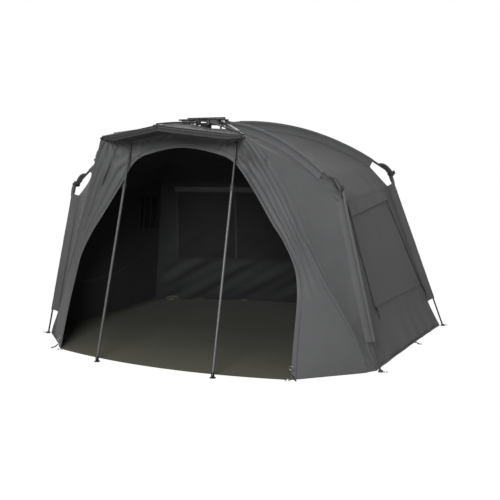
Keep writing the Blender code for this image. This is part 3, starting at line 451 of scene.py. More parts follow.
RIBS = {}
for LABEL, SIDE in SIDES:
    RIBS["front_" + LABEL] = Rib("front_" + LABEL, SIDE, FRONT)
    RIBS["back_" + LABEL] = Rib("back_" + LABEL, SIDE, BACK)
PEAKS = {
    "right": Peak(PEAK_PIVOT, PEAK_TIP, 0.028),
    "centre": Peak((0.0, PEAK_PIVOT[1]), PEAK_CENTRE_TIP, 0.010),
    "left": Peak((-PEAK_PIVOT[0], PEAK_PIVOT[1]), (-PEAK_TIP[0], PEAK_TIP[1], PEAK_TIP[2]), 0.028),
}


def grid_normals(grid):
    rows, cols = len(grid), len(grid[0])
    normals = []
    for i in range(rows):
        line = []
        for j in range(cols):
            down = grid[min(i + 1, rows - 1)][j] - grid[max(i - 1, 0)][j]
            right = grid[i][min(j + 1, cols - 1)] - grid[i][max(j - 1, 0)]
            line.append(down.cross(right).normalized())
        normals.append(line)
    return normals


def crease_noise(point, scale, seed):
    return noise.noise(point * scale + Vector((seed, seed * 1.7, -seed)))


def fold_line(point, start, end, width, height):
    """A soft fold along a line, highest in its middle."""
    along = end - start
    share = max(0.0, min(1.0, (point - start).dot(along) / along.length_squared))
    away = (point - (start + along * share)).length
    return height * math.exp(-(away / width) ** 2) * (0.25 + 0.75 * bow(share) ** 0.5)


def folds_at(point, folds, side):
    """The height of all folds in a list at a point; the list is for the right side, and side mirrors it."""
    rise = 0.0
    for start, end, width, height in folds:
        first, second = Vector(start), Vector(end)
        first.x, second.x = first.x * side, second.x * side
        rise += fold_line(point, first, second, width, height)
    return rise


def fan(point, centre, first, second, count, reach, height, phase=0.0):
    """Folds that spread from a centre where cloth is pulled tight; first and second span their plane."""
    away = point - centre
    a, b = away.dot(first), away.dot(second)
    radius = math.hypot(a, b)
    turn = math.atan2(b, a)
    swell = ease(0.0, reach * 0.25, radius)
    return height * swell * math.exp(-radius / reach) * math.cos(count * turn + phase)


def refine(grid, down, across):
    """More rows and columns between a grid's own, on smooth curves, so that it can carry fine folds."""
    wide = [smooth_path(row, across) for row in grid]
    columns = [smooth_path([row[j] for row in wide], down) for j in range(len(wide[0]))]
    return [[column[i] for column in columns] for i in range(len(columns[0]))]


def displaced(grid, height):
    """Moves a grid's points along its normals; height(point, down, across) is in metres."""
    rows, cols = len(grid), len(grid[0])
    normals = grid_normals(grid)
    moved = []
    for i in range(rows):
        line = []
        for j in range(cols):
            rise = height(grid[i][j], i / (rows - 1), j / (cols - 1))
            line.append(grid[i][j] + normals[i][j] * rise)
        moved.append(line)
    return moved


def sheet_mesh(name, grid, outside, inside, thickness=CLOTH, flip=False):
    """A closed thin sheet; its outer face lies on the grid and its inner face behind it."""
    rows, cols = len(grid), len(grid[0])
    normals = grid_normals(grid)
    sign = 1.0 if flip else -1.0
    points = [p for row in grid for p in row]
    points += [p + n * (sign * thickness) for row, line in zip(grid, normals) for p, n in zip(row, line)]
    back = rows * cols
    faces, indices = [], []
    for i in range(rows - 1):
        for j in range(cols - 1):
            a, b = i * cols + j, i * cols + j + 1
            c, d = b + cols, a + cols
            if flip:
                faces += [(a, b, c, d), (back + a, back + d, back + c, back + b)]
            else:
                faces += [(d, c, b, a), (back + d, back + a, back + b, back + c)]
            indices += [0, 1]
    edge = list(range(cols)) + [i * cols + cols - 1 for i in range(1, rows)]
    edge += [(rows - 1) * cols + j for j in range(cols - 2, -1, -1)]
    edge += [i * cols for i in range(rows - 2, 0, -1)]
    for a, b in zip(edge, edge[1:] + edge[:1]):
        faces.append((b, a, back + a, back + b) if flip else (a, b, back + b, back + a))
        indices.append(0)
    return new_mesh(name, points, faces, [outside, inside], indices, 60.0)


def side_sag(side):
    """How a side panel hangs between its two ribs: hollow over the roof, nearly flat in the wall."""
    def sag(down, across):
        roof = max(0.0, 1 - abs(down / ELBOW_ROW - 0.55) / 0.55)
        wall = ease(ELBOW_ROW, 0.7, down)
        return (UP * (-ROOF_SAG * roof) + Vector((-side * WALL_SAG * wall, 0, 0))) * bow(across)
    return sag


def back_bow(down, across):
    """How the back panel bows out behind: more towards the ground."""
    top = min(1.0, down / ELBOW_ROW)
    wall = max(0.0, down - ELBOW_ROW) / (1 - ELBOW_ROW)
    hem = BACK_HEM_Y - BACK["foot"][1]
    reach = BACK_WAIST_BOW * top ** 2 + (hem - BACK_WAIST_BOW) * wall ** 1.15
    sink = -ROOF_SAG * max(0.0, 1 - abs(down / ELBOW_ROW - 0.5) / 0.5)
    return (Vector((0, reach, 0)) + UP * sink) * bow(across)


def peak_corner():
    """The cloth's corner, just under the tip of the right peak rib."""
    return Vector(PEAK_TIP) - UP * (PEAK_R + FABRIC_SEAT)


def crease_points(side):
    """The front crease from below the peak's corner to the ground."""
    path = [peak_corner()] + [Vector(p) for p in CREASE] + [Vector((*CREASE_END, HEM_Z))]
    points = along_path(smooth_path(path), LEG_ROWS + 2)
    return points[1:] if side > 0 else mirrored(points[1:])


def wing_edge(label, side):
    """The front edge of a wing: under the peak's rib, then down the crease, with a corner at the tip."""
    upper = smooth_path(PEAKS[label].ridge(), STEPS)
    tip = upper[-1]
    lower = smooth_path([tip] + crease_points(side), STEPS)
    return upper + lower[1:]


def spread(first, last, cols, sag):
    """A grid from one ridge to the other."""
    grid = []
    for i, (a, b) in enumerate(zip(first, last)):
        down = i / (len(first) - 1)
        grid.append([a.lerp(b, j / cols) + sag(down, j / cols) for j in range(cols + 1)])
    return grid


def edge_fade(down, across, rim=0.06):
    """1 inside a panel and 0 along its seams, so that folds die out where cloth is sewn."""
    return (ease(0.0, rim, across) * ease(0.0, rim, 1 - across)
            * ease(0.0, rim, down) * ease(0.0, rim * 0.5, 1 - down))


def roof_creases(point, down, across, seed):
    """Faint lasting creases from folding, plus the broad unevenness of cloth."""
    broad = crease_noise(point, 2.1, seed) * 0.006
    fine = abs(crease_noise(point, 7.5, seed + 3)) ** 1.5 * -0.004
    return (broad + fine) * edge_fade(down, across)


def panel(name, grid, node, inside=CANOPY_INSIDE, flip=False):
    """A canopy panel in place of a node of the frame."""
    piece = sheet_mesh(name, grid, CANOPY, inside, flip=flip)
    crumples(piece)
    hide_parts(node)
    return piece


def side_panel(label, side):
    front, back = RIBS["front_" + label], RIBS["back_" + label]

    def height(point, down, across):
        rise = roof_creases(point, down, across, 11.0)
        fade = edge_fade(down, across, 0.03)
        rise += fan(point, front.elbow, Y_AXIS, UP, 9, 0.22, 0.0035) * fade
        rise += fan(point, back.elbow, -Y_AXIS, UP, 9, 0.22, 0.0035, 1.0) * fade
        rise += fan(point, front.pivot, X_AXIS * side, Y_AXIS, 15, 0.16, 0.004) * fade
        hem = ease(0.86, 1.0, down)
        rise += hem * 0.003 * math.sin(across * 38 + 2 * math.sin(across * 9)) * edge_fade(0.5, across)
        return rise

    grid = displaced(spread(front.dense_ridge(), back.dense_ridge(), SIDE_COLS, side_sag(side)), height)
    piece = panel("side_cloth_" + label, grid, "side_panel_" + label, flip=side < 0)
    return grid


def back_cloth():
    right, left = RIBS["back_right"], RIBS["back_left"]

    def height(point, down, across):
        rise = roof_creases(point, down, across, 23.0)
        fade = edge_fade(down, across, 0.03)
        for rib, inward in ((right, -X_AXIS), (left, X_AXIS)):
            rise += fan(point, rib.elbow, inward, UP, 9, 0.26, 0.005) * fade
        slanted = (1.75 * point.z - point.x) * 17
        wavy = math.sin(slanted + 1.6 * math.sin(point.x * 4.0 + 1.0)) + 0.6 * math.sin(slanted * 1.9 + 2.2)
        skirt = ease(SKIRT_TOP - 0.01, SKIRT_TOP + 0.03, down) * ease(1.0, 0.95, down)
        depth = skirt * 0.0085 + (1 - skirt) * ease(0.62, 0.80, down) * 0.0022
        return rise + depth * wavy * edge_fade(0.5, across, 0.05)

    coarse = spread(right.dense_ridge(), left.dense_ridge(), BACK_COLS, back_bow)
    grid = displaced(refine(coarse, 2, 2), height)
    piece = panel("back_cloth", grid, "back_panel", CANOPY_BACK)
    return grid


# Folds of the right wing: each one's ends, width and height
WING_FOLDS = [
    ((0.545, -0.385, 1.265), (0.640, -0.340, 1.170), 0.008, -0.0110),
    ((0.560, -0.365, 1.190), (0.655, -0.330, 1.240), 0.008, -0.0100),
    ((0.580, -0.372, 1.180), (0.700, -0.320, 1.150), 0.009, -0.0080),
    ((0.560, -0.375, 1.240), (0.670, -0.320, 1.270), 0.010, 0.0080),
    ((0.540, -0.380, 1.230), (0.620, -0.345, 1.215), 0.007, 0.0070),
    ((0.555, -0.375, 1.280), (0.650, -0.330, 1.205), 0.009, 0.0060),
    ((0.760, -0.312, 0.830), (0.860, -0.266, 0.760), 0.009, -0.0080),
    ((0.780, -0.305, 0.780), (0.880, -0.260, 0.700), 0.009, -0.0080),
    ((0.800, -0.298, 0.740), (0.890, -0.258, 0.640), 0.009, 0.0060),
    ((1.010, -0.205, 0.320), (1.130, -0.165, 0.120), 0.011, -0.0060),
    ((0.960, -0.260, 0.060), (1.150, -0.160, 0.050), 0.011, -0.0070),
    ((0.930, -0.240, 0.260), (1.150, -0.155, 0.075), 0.013, -0.0050),
    ((0.980, -0.250, 0.110), (1.140, -0.160, 0.090), 0.009, 0.0050),
]


def wing_cloth(label, side):
    edge = wing_edge(label, side)
    front = RIBS["front_" + label].dense_ridge()
    inward = (SHELTER_MIDDLE - Vector((side * WING_MIDDLE[0], *WING_MIDDLE[1:]))).normalized() * WING_SAG
    tip = edge[(ARM_ROWS - 1) * STEPS]
    foot = front[-1]

    def height(point, down, across):
        rise = roof_creases(point, down, across, 37.0 if side > 0 else 5.0)
        fade = edge_fade(down, across, 0.03)
        out = Vector((side * 0.70, 0.68, 0.2))
        rise += fan(point, tip, out, Vector((side * 0.5, 0.2, -0.8)), 16, 0.20, 0.006, 0.6) * fade
        rise += fan(point, foot, Vector((-side, -0.1, 0)), UP, 14, 0.22, 0.004) * fade
        pleat = ease(0.42, 0.50, down) * ease(0.93, 0.80, down)
        rise += pleat * 0.004 * math.sin(across * 42) * ease(0.0, 0.03, across) * math.exp(-across / 0.10)
        return rise + folds_at(point, WING_FOLDS, side) * ease(0.0, 0.02, across)

    coarse = spread(edge, front, WING_COLS, lambda down, across: inward * bow(across) * bow(down))
    grid = displaced(refine(coarse, 3, 2), height)
    piece = panel("wing_cloth_" + label, grid, "front_wing_" + label, flip=side < 0)
    return grid


# Where the doorway's edge turns from its side to its top, as a share of its length
ARCH_TURN = 0.68


def arch_points():
    """The right half of the doorway's edge, from the foot to the crown."""
    path = [Vector((*ARCH_FOOT, HEM_Z))] + [Vector(p) for p in ARCH_SIDE]
    path += [Vector(ARCH_SHOULDER), Vector(ARCH_CROWN)]
    fine = smooth_path(path + mirrored([Vector(ARCH_SHOULDER)]))[:(len(path) - 1) * STEPS + 1]
    return (along_path(fine, FACE_SIDE_ROWS + 1, 0.0, ARCH_TURN)
            + along_path(fine, FACE_TOP_ROWS + 1, ARCH_TURN, 1.0)[1:])


def face_outline():
    """The right half of the door face's outer edge: up the crease, then under the peak to its middle."""
    rise = list(reversed(smooth_path([peak_corner()] + crease_points(1), STEPS)))
    path = [peak_corner()] + [Vector(p) for p in (FACE_POCKET, FACE_SHOULDER, FACE_TOP)]
    under = smooth_path(path + mirrored([Vector(FACE_SHOULDER)]), 10)[:31]
    return along_path(rise, FACE_SIDE_ROWS + 1) + along_path(under, FACE_TOP_ROWS + 1)[1:]


def face_grid():
    """The door face from the doorway's edge outward; its rows run from the right foot over to the left.

    It is flat in its lower part, deepest by the peak's corner, and flatter again over the doorway. The value
    of turn goes from 0 to 8 up the side and from 8 to 17 over the top.
    """
    rows = []
    for i, (a, b) in enumerate(zip(arch_points(), face_outline())):
        if i <= FACE_SIDE_ROWS:
            turn = i / FACE_SIDE_ROWS * 8
        else:
            turn = 8 + (i - FACE_SIDE_ROWS) * 9 / FACE_TOP_ROWS
        deep = FACE_RECESS * min(1.0, max(0.0, (turn - 5) / 3)) * (1 - turn / 18 * 0.5)
        rows.append([a.lerp(b, j / FACE_COLS) + Y_AXIS * (deep * bow(j / FACE_COLS))
                     for j in range(FACE_COLS + 1)])
    return rows + [mirrored(row) for row in reversed(rows[:-1])]


# Folds of the door face's right half: each one's ends, width and height
FACE_FOLDS = [
    ((0.430, -0.340, 1.300), (0.560, -0.330, 1.060), 0.009, 0.0110),
    ((0.445, -0.340, 1.295), (0.580, -0.330, 1.050), 0.006, -0.0120),
    ((0.480, -0.345, 1.290), (0.700, -0.325, 0.830), 0.010, 0.0120),
    ((0.465, -0.345, 1.280), (0.685, -0.325, 0.820), 0.006, -0.0130),
    ((0.405, -0.335, 1.300), (0.455, -0.335, 1.150), 0.006, -0.0110),
    ((0.420, -0.335, 1.300), (0.470, -0.335, 1.150), 0.008, 0.0080),
    ((0.485, -0.360, 1.330), (0.620, -0.335, 1.120), 0.006, -0.0110),
    ((0.500, -0.345, 1.180), (0.740, -0.320, 0.720), 0.007, -0.0100),
    ((0.520, -0.345, 1.180), (0.750, -0.320, 0.740), 0.009, 0.0080),
    ((0.390, -0.330, 1.250), (0.480, -0.330, 1.080), 0.006, -0.0100),
    ((0.375, -0.325, 1.310), (0.400, -0.330, 1.230), 0.006, -0.0100),
    ((0.128, -0.277, 1.372), (0.190, -0.282, 1.330), 0.007, 0.0070),
    ((0.095, -0.277, 1.366), (0.140, -0.282, 1.330), 0.006, -0.0060),
    ((0.180, -0.282, 1.366), (0.240, -0.282, 1.325), 0.006, -0.0070),
    ((0.215, -0.282, 1.362), (0.265, -0.282, 1.335), 0.006, 0.0050),
    ((0.050, -0.277, 1.368), (0.078, -0.280, 1.335), 0.006, 0.0045),
]


def door_face():
    def height(point, down, across):
        fade = ease(0.0, 0.12, across) * ease(0.0, 0.10, 1 - across)
        rise = crease_noise(point, 3.0, 61.0) * 0.005 * fade
        side = 1 if point.x > 0 else -1
        corner = Vector((side * 0.46, -0.41, 1.34))
        rise += fan(point, corner, X_AXIS * side, UP, 15, 0.16, 0.006, 0.8) * fade
        pocket = Vector((side * 0.30, -0.31, 1.36))
        rise += fan(point, pocket, X_AXIS, UP, 11, 0.10, 0.005) * fade
        rise += folds_at(point, FACE_FOLDS, side) * fade
        drop = ease(1.30, 1.15, point.z) * ease(0.35, 0.75, point.z)
        return rise + drop * 0.005 * math.sin(across * 24 + 3 * down) * fade

    grid = displaced(refine(face_grid(), 2, 2), height)
    piece = panel("door_face_cloth", grid, "door_face", flip=True)
    return grid


FASCIA_DROP = 0.034
FASCIA_STEPS = (0.04, 0.08, 0.14, 0.30, 0.5, 0.7, 0.88, 1.0)
HOOD_HALF = 32


def hood_grid():
    """The peak from the crown to its front edge, then down the fascia, from right to left."""
    curves = [PEAKS[name].dense_ridge() for name in ("right", "centre", "left")]
    rows = []
    last = (ARM_ROWS - 1) * STEPS
    for i in range(last + 1):
        sink = UP * (-HOOD_SAG * bow(i / last))
        row = []
        for a, b in zip(curves, curves[1:]):
            row += [a[i].lerp(b[i], j / HOOD_HALF) + sink * bow(j / HOOD_HALF) for j in range(HOOD_HALF)]
        rows.append(row + [curves[-1][i].copy()])
    edge = rows[-1]
    for step in FASCIA_STEPS:
        row = []
        for j, point in enumerate(edge):
            share = mix(0.45, 1.0, ease(0, 8, min(j, 2 * HOOD_HALF - j)))
            roll = 0.004 * math.exp(-((step - 0.06) / 0.07) ** 2)
            lean = 0.010 * step
            row.append(point + Vector((0, -roll + lean, -FASCIA_DROP * share * step)))
        rows.append(row)
    return rows


def hood():
    grid = hood_grid()
    split = (ARM_ROWS - 1) * STEPS / (len(grid) - 1)

    def height(point, down, across):
        fade = edge_fade(down / split, across, 0.08) if down < split else 0.0
        rise = crease_noise(point, 4.0, 71.0) * 0.004 * fade
        rise += fan(point, PEAKS["centre"].pivot, -Y_AXIS, X_AXIS, 17, 0.2, 0.004) * fade
        if down > split:
            low = (down - split) / (1 - split)
            rise += 0.0016 * math.sin(across * 90 + 2.0 * math.sin(across * 11)) * ease(0.3, 1.0, low)
        return rise

    grid = displaced(grid, height)
    piece = panel("hood_cloth", grid, "peak_hood")
    return grid


def soffit(hood_rows, face_rows):
    """The peak's underside, dark with painted shade, from the fascia's lower edge back to the top of the door
    face.
    """
    front = [p + Vector((0, 0.003, 0.002)) for p in hood_rows[-1]]
    corner = (len(face_rows) - 1) * FACE_SIDE_ROWS // (2 * (FACE_SIDE_ROWS + FACE_TOP_ROWS))
    top = [row[-1] for row in face_rows[corner:len(face_rows) - corner]]
    back = along_path(top, len(front))
    grid = []
    for i in range(15):
        share = i / 14
        grid.append([a.lerp(b, share) + UP * (0.010 * bow(share)) for a, b in zip(front, back)])

    def height(point, down, across):
        fade = ease(0.0, 0.15, down) * ease(0.0, 0.15, 1 - down)
        return (crease_noise(point, 9.0, 17.0) * 0.004 + 0.0018 * math.sin(across * 70)) * fade

    piece = sheet_mesh("soffit_cloth", displaced(grid, height), CANOPY_SHADE, CANOPY_SHADE)
    crumples(piece)


CROWN_RINGS = 12
CROWN_STEPS = 8


def crown():
    """The centre panel under the hub, with stitched rings round it."""
    around = (PEAKS["right"], RIBS["front_right"], RIBS["back_right"], RIBS["back_left"], RIBS["front_left"],
              PEAKS["left"], PEAKS["centre"])
    corners = [rib.ridge()[0] for rib in around]
    middle = sum(corners, Vector()) / len(corners)
    ring = []
    for a, b in zip(corners, corners[1:] + corners[:1]):
        ring += [a.lerp(b, k / CROWN_STEPS) for k in range(CROWN_STEPS)]
    grid = []
    for i in range(CROWN_RINGS + 1):
        share = i / CROWN_RINGS
        line = []
        for p in ring:
            point = middle.lerp(p, mix(0.02, 1.0, share))
            point.z += 0.003 * (1 - share) + 0.0012 * math.sin(share * 40)
            line.append(point)
        grid.append(line)
    upper = [p for row in grid for p in row]
    top = new_mesh("crown_cloth", upper + [p - UP * CLOTH for p in upper], crown_faces(len(grid), len(ring)),
                   [CANOPY])
    crumples(top)
    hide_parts("crown_panel")


def crown_faces(rows, cols):
    """Two faces of a ringed patch with a hole in its middle, closed along both rims."""
    faces = []
    back = rows * cols
    for i in range(rows - 1):
        for j in range(cols):
            a, b = i * cols + j, i * cols + (j + 1) % cols
            c, d = b + cols, a + cols
            faces += [(a, b, c, d), (back + a, back + d, back + c, back + b)]
    for j in range(cols):
        k = (j + 1) % cols
        faces.append((k, j, back + j, back + k))
        outer = (rows - 1) * cols
        faces.append((outer + j, outer + k, back + outer + k, back + outer + j))
    return faces


def sleeve(tube, ridge, across, radius, seed):
    """A sleeve's section at each point: a flat web from the canopy's ridge, opening round the tube."""
    grid = []
    for centre, base in zip(tube, ridge):
        out = (centre - base).normalized()
        deep = (centre - base).length
        pucker = noise.noise(centre * 26 + Vector((seed, 0, 0)))
        snug = radius * (1 + 0.06 * pucker)
        half = [(-0.001, 0.0050), (0.06 * deep, 0.0030), (0.30 * deep, 0.0017), (deep - 2.3 * radius, 0.0016),
                (deep - 1.55 * radius, 0.0026), (deep - 1.0 * radius, 0.52 * radius)]
        row = [base + out * d - across * w for d, w in half]
        for k in range(13):
            turn = math.radians(mix(-132, 132, k / 12))
            row.append(centre + out * (math.cos(turn) * snug) + across * (math.sin(turn) * snug))
        row += [base + out * d + across * w for d, w in reversed(half)]
        sway = across * (0.0012 * noise.noise(centre * 9 + Vector((0, seed, 0))))
        grid.append([p + sway for p in row])
    return grid


def rib_sleeves(rib):
    """The arm's sleeve and the leg's sleeve, each ending short of the bare elbow."""
    arm_shares = [mix(0.075, SLEEVE_SHARE, i / 70) for i in range(71)]
    leg_shares = [mix(SLEEVE_TOP, rib.leg_cover, i / 60) for i in range(61)]
    lines = {
        "arm": ([rib.arm_point(s) for s in arm_shares],
                [rib.under_arm(s, ARM_R + SLEEVE_DEPTH) for s in arm_shares], ARM_R + SLEEVE_ROOM, 1.0),
        "leg": ([rib.leg_top.lerp(rib.foot, s) for s in leg_shares],
                [rib.leg_ridge(s) for s in leg_shares], LEG_R + SLEEVE_ROOM, 4.0),
    }
    for part, (tube, ridge, radius, seed) in lines.items():
        grid = sleeve(tube, ridge, rib.across, radius, seed)
        piece = sheet_mesh(part + "_sleeve_" + rib.name, grid, CANOPY, CANOPY, 0.0007, flip=rib_flip(grid))
        crumples(piece)


def rib_flip(grid):
    """Whether a grid's own normals point in towards the shelter."""
    normals = grid_normals(grid)
    i, j = len(grid) // 2, len(grid[0]) // 2
    return normals[i][j].dot(grid[i][j] - SHELTER_MIDDLE) < 0


class Surface:
    """A panel's cloth as a surface: points and normals at shares down and across it."""

    def __init__(self, grid, outward, inside=False):
        self.grid = grid
        self.normals = grid_normals(grid)
        self.rows, self.cols = len(grid) - 1, len(grid[0]) - 1
        middle = self.normals[self.rows // 2][self.cols // 2]
        self.sign = 1.0 if middle.dot(outward) > 0 else -1.0
        self.depth = CLOTH if inside else 0.0
        if inside:
            self.sign = -self.sign

    def at(self, down, across, lift=0.0):
        y, x = down * self.rows, across * self.cols
        i, j = min(int(y), self.rows - 1), min(int(x), self.cols - 1)
        s, t = y - i, x - j
        found = []
        for field in (self.grid, self.normals):
            upper = field[i][j].lerp(field[i][j + 1], t)
            found.append(upper.lerp(field[i + 1][j].lerp(field[i + 1][j + 1], t), s))
        normal = found[1].normalized() * self.sign
        return found[0] + normal * (self.depth + lift), normal


def declare(piece, grid):
    """Lets a flat piece ride with the canopy, and works out its size as a sheet."""
    crumples(piece)
    sheet_size(grid)


def sheet_size(grid):
    middle_row, middle_col = grid[len(grid) // 2], [row[len(row) // 2] for row in grid]
    wide = max(0.0102, sum((b - a).length for a, b in zip(middle_row, middle_row[1:])))
    long = sum((b - a).length for a, b in zip(middle_col, middle_col[1:]))
    area = sum(((b - c).cross(d - e)).length / 2 for upper, lower in zip(grid, grid[1:])
               for c, e, d, b in zip(upper, upper[1:], lower, lower[1:]))
    area = min(1.0, max(0.31, area / (wide * long))) * wide * long


def patch(name, surface, corners, size, lift, material, thickness=0.0008, own=False):
    """A piece of cloth on a surface; its corners are (down, across) from the top left, clockwise."""
    rows, cols = size
    a, b, c, d = corners
    grid = []
    for i in range(rows + 1):
        v = i / rows
        line = []
        for j in range(cols + 1):
            u = j / cols
            down = mix(mix(a[0], b[0], u), mix(d[0], c[0], u), v)
            across = mix(mix(a[1], b[1], u), mix(d[1], c[1], u), v)
            line.append(surface.at(down, across, lift(v, u))[0])
        grid.append(line)
    outward = surface.at((a[0] + c[0]) / 2, (a[1] + c[1]) / 2)[1]
    flip = grid_normals(grid)[rows // 2][cols // 2].dot(outward) < 0
    piece = sheet_mesh(name, grid, material, material, thickness, flip)
    if not own:
        declare(piece, grid)
    return piece, grid


def tape(name, points, normals, width, material, under, lift=0.0012, heights=(0.0, 1, 1, 1, 0.0),
         slot_name="canopy_cloth"):
    """A narrow strip of tape along a line that lies on cloth; heights shape its section."""
    grid = []
    last = len(heights) - 1
    for i, (point, normal) in enumerate(zip(points, normals)):
        ahead = (points[min(i + 1, len(points) - 1)] - points[max(i - 1, 0)]).normalized()
        side = ahead.cross(normal).normalized()
        grid.append([point + side * (width * (k / last - 0.5)) + normal * (lift + 0.0006 * high)
                     for k, high in enumerate(heights)])
    middle = len(grid) // 2
    inward = grid_normals(grid)[middle][last // 2].dot(normals[middle]) < 0
    piece = sheet_mesh(name, grid, material, material, 0.0007, flip=inward)
    declare(piece, grid)


def seam(name, surface, stops, width, material, under, steps=16, **options):
    """A tape on a surface through the places (down, across) in stops."""
    places = smooth_path([Vector((down, across, 0)) for down, across in stops], steps)
    points, normals = zip(*[surface.at(p.x, p.y) for p in places])
    tape(name, points, normals, width, material, under, **options)


# Sections of a seam sewn in two rows and of a closed zip, and the sizes of a zip with its slider and pull
DOUBLE_STITCH = (0.0, 1.0, 0.2, 1.0, 1.0, 0.2, 1.0, 0.0)
ZIP_SECTION = (-3, 5, 4, 5, -3)
ZIP_WIDTH = 0.0160
ZIP_LIFT = 0.0040
SLIDER_LIFT = 0.0115
SLIDER_HALVES = (0.0055, 0.008, 0.0032)
PULL_LENGTH = 0.060

# The side window's cover, its pelmet and the mesh under it, as shares down and across the side panel
COVER = [(0.613, 0.178), (0.604, 0.872), (0.866, 0.965), (0.862, 0.215)]
PELMET = [(0.583, 0.165), (0.583, 0.905), (0.609, 0.885), (0.621, 0.150)]
SIDE_MESH = [(0.630, 0.23), (0.625, 0.82), (0.835, 0.90), (0.832, 0.27)]


def side_window(label, side):
    """The zipped cover over a mesh window, under a sewn pelmet."""
    under = "side_cloth_" + label
    wall = Surface(GRIDS["side_" + label], X_AXIS * side)
    body = "window_cover_" + label
    patch("window_mesh_" + label, wall, SIDE_MESH, (24, 24), lambda v, u: 0.0014, MESH_DARK)
    cover, grid = patch("window_cover_cloth_" + label, wall, COVER, (40, 40),
                        lambda v, u: 0.0030 + 0.0016 * bow(u) * bow(v) + 0.0007 * math.sin(9 * u + 14 * v),
                        CANOPY, own=True)
    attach(cover, body)
    gathers(cover)
    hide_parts(body)
    sheet_size(grid)
    flap, grid = patch("pelmet_" + label, wall, PELMET, (14, 60),
                       lambda v, u: 0.0016 + 0.010 * v + 0.0022 * v * math.sin(23 * u + 3 * math.sin(7 * u)),
                       CANOPY, own=True)
    declare(flap, grid)
    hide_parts("rain_flap_" + label)
    seam("pelmet_seam_" + label, wall, [(0.580, 0.15), (0.580, 0.92)], 0.012, CANOPY, under,
         heights=DOUBLE_STITCH)
    front_top, back_top, back_low, front_low = COVER
    hem = [(low[0] + 0.004, low[1]) for low in (front_low, back_low)]
    seam("cover_hem_" + label, wall, hem, 0.010, CANOPY, under, lift=0.0016)
    zips = (("front", front_top, front_low, -0.006), ("back", back_top, back_low, 0.014))
    for place, top, low, shift in zips:
        line = [(top[0], top[1] + shift), (low[0] + 0.004, low[1] + shift)]
        seam(f"zip_{place}_{label}", wall, line, ZIP_WIDTH, ZIP, under, lift=ZIP_LIFT, heights=ZIP_SECTION)
        zip_slider(label, place, wall, (low[0] + 0.005, low[1] + shift))


def zip_slider(label, place, wall, where):
    """A slider with its looped cord pull."""
    node = f"zip_slider_{label}_{place}"
    point, out = wall.at(*where, SLIDER_LIFT)
    down = (wall.at(where[0] + 0.02, where[1])[0] - wall.at(*where)[0]).normalized()
    across = down.cross(out).normalized()
    slider = rounded_block(f"slider_{label}_{place}", point, (across, down, out), SLIDER_HALVES, 0.0015, ZIP)
    line = []
    for k in range(25):
        turn = 2 * math.pi * k / 24
        hang = (1 - math.cos(turn)) / 2
        line.append(point + down * (0.008 + PULL_LENGTH * hang) + across * (0.0035 * math.sin(turn))
                    + out * (0.001 + 0.0015 * hang))
    pull = tube_mesh(f"pull_{label}_{place}", line, 0.0014, WEBBING, closed=True)
    for piece in (slider, pull):
        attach(piece, node)
        gathers(piece)
    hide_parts(node)


def rounded_block(name, centre, axes, halves, bevel, material):
    """A block with rounded edges."""
    mesh = bmesh.new()
    bmesh.ops.create_cube(mesh, size=2.0)
    turn = Matrix([list(a) for a in axes]).transposed()
    for vertex in mesh.verts:
        vertex.co = turn @ Vector([c * h for c, h in zip(vertex.co, halves)])
    bmesh.ops.bevel(mesh, geom=mesh.edges[:], offset=bevel, segments=3, profile=0.5, affect="EDGES")
    bmesh.ops.recalc_face_normals(mesh, faces=mesh.faces[:])
    return finish_bmesh(name, mesh, centre, material)


def finish_bmesh(name, mesh, centre, material):
    data = bpy.data.meshes.new(name)
    mesh.to_mesh(data)
    mesh.free()
    data.materials.append(material)
    data.shade_smooth()
    data.set_sharp_from_angle(angle=math.radians(35))
    made = bpy.data.objects.new(name, data)
    made.location = centre
    bpy.context.collection.objects.link(made)
    return made


def tube_mesh(name, line, radius, material, closed=False, sides=8):
    """A round bar along a line of points, closed into a ring or with flat ends; radius may be a list."""
    count = len(line) - 1 if closed else len(line)
    radii = radius if isinstance(radius, list) else [radius] * count
    points = []
    side = None
    for i in range(count):
        if closed:
            ahead = line[(i + 1) % count] - line[i - 1]
        else:
            ahead = line[min(i + 1, count - 1)] - line[max(i - 1, 0)]
        ahead = ahead.normalized()
        guess = side if side else (UP if abs(ahead.z) < 0.9 else X_AXIS)
        side = (guess - ahead * guess.dot(ahead)).normalized()
        other = ahead.cross(side)
        for k in range(sides):
            turn = 2 * math.pi * k / sides
            points.append(line[i] + (side * math.cos(turn) + other * math.sin(turn)) * radii[i])
    faces = []
    for i in range(count if closed else count - 1):
        j = (i + 1) % count
        for k in range(sides):
            m = (k + 1) % sides
            faces.append((i * sides + k, i * sides + m, j * sides + m, j * sides + k))
    if not closed:
        faces.append(tuple(range(sides))[::-1])
        faces.append(tuple((count - 1) * sides + k for k in range(sides)))
    return new_mesh(name, points, faces, [material])


# The back windows and their seams, as shares down and across the back panel
BACK_WINDOW_TOP = 0.607
BACK_WINDOWS = (("left", 0.480, 0.927), ("right", 0.073, 0.470))
BACK_SEAMS = ((0.068, 0.068), (0.318, 0.282), (0.475, 0.475), (0.682, 0.718), (0.932, 0.932))

# The gathered mesh inside each side wall, the seam below it and its straps, as shares of the side panel
INNER_MESH = [(0.607, 0.722), (0.619, 0.958), (0.726, 0.986), (0.714, 0.736)]
INNER_SEAM = [(0.852, 0.16), (0.850, 0.50), (0.812, 0.83), (0.800, 0.97)]
INNER_STRAPS = (0.712, 0.775, 0.860, 0.955)


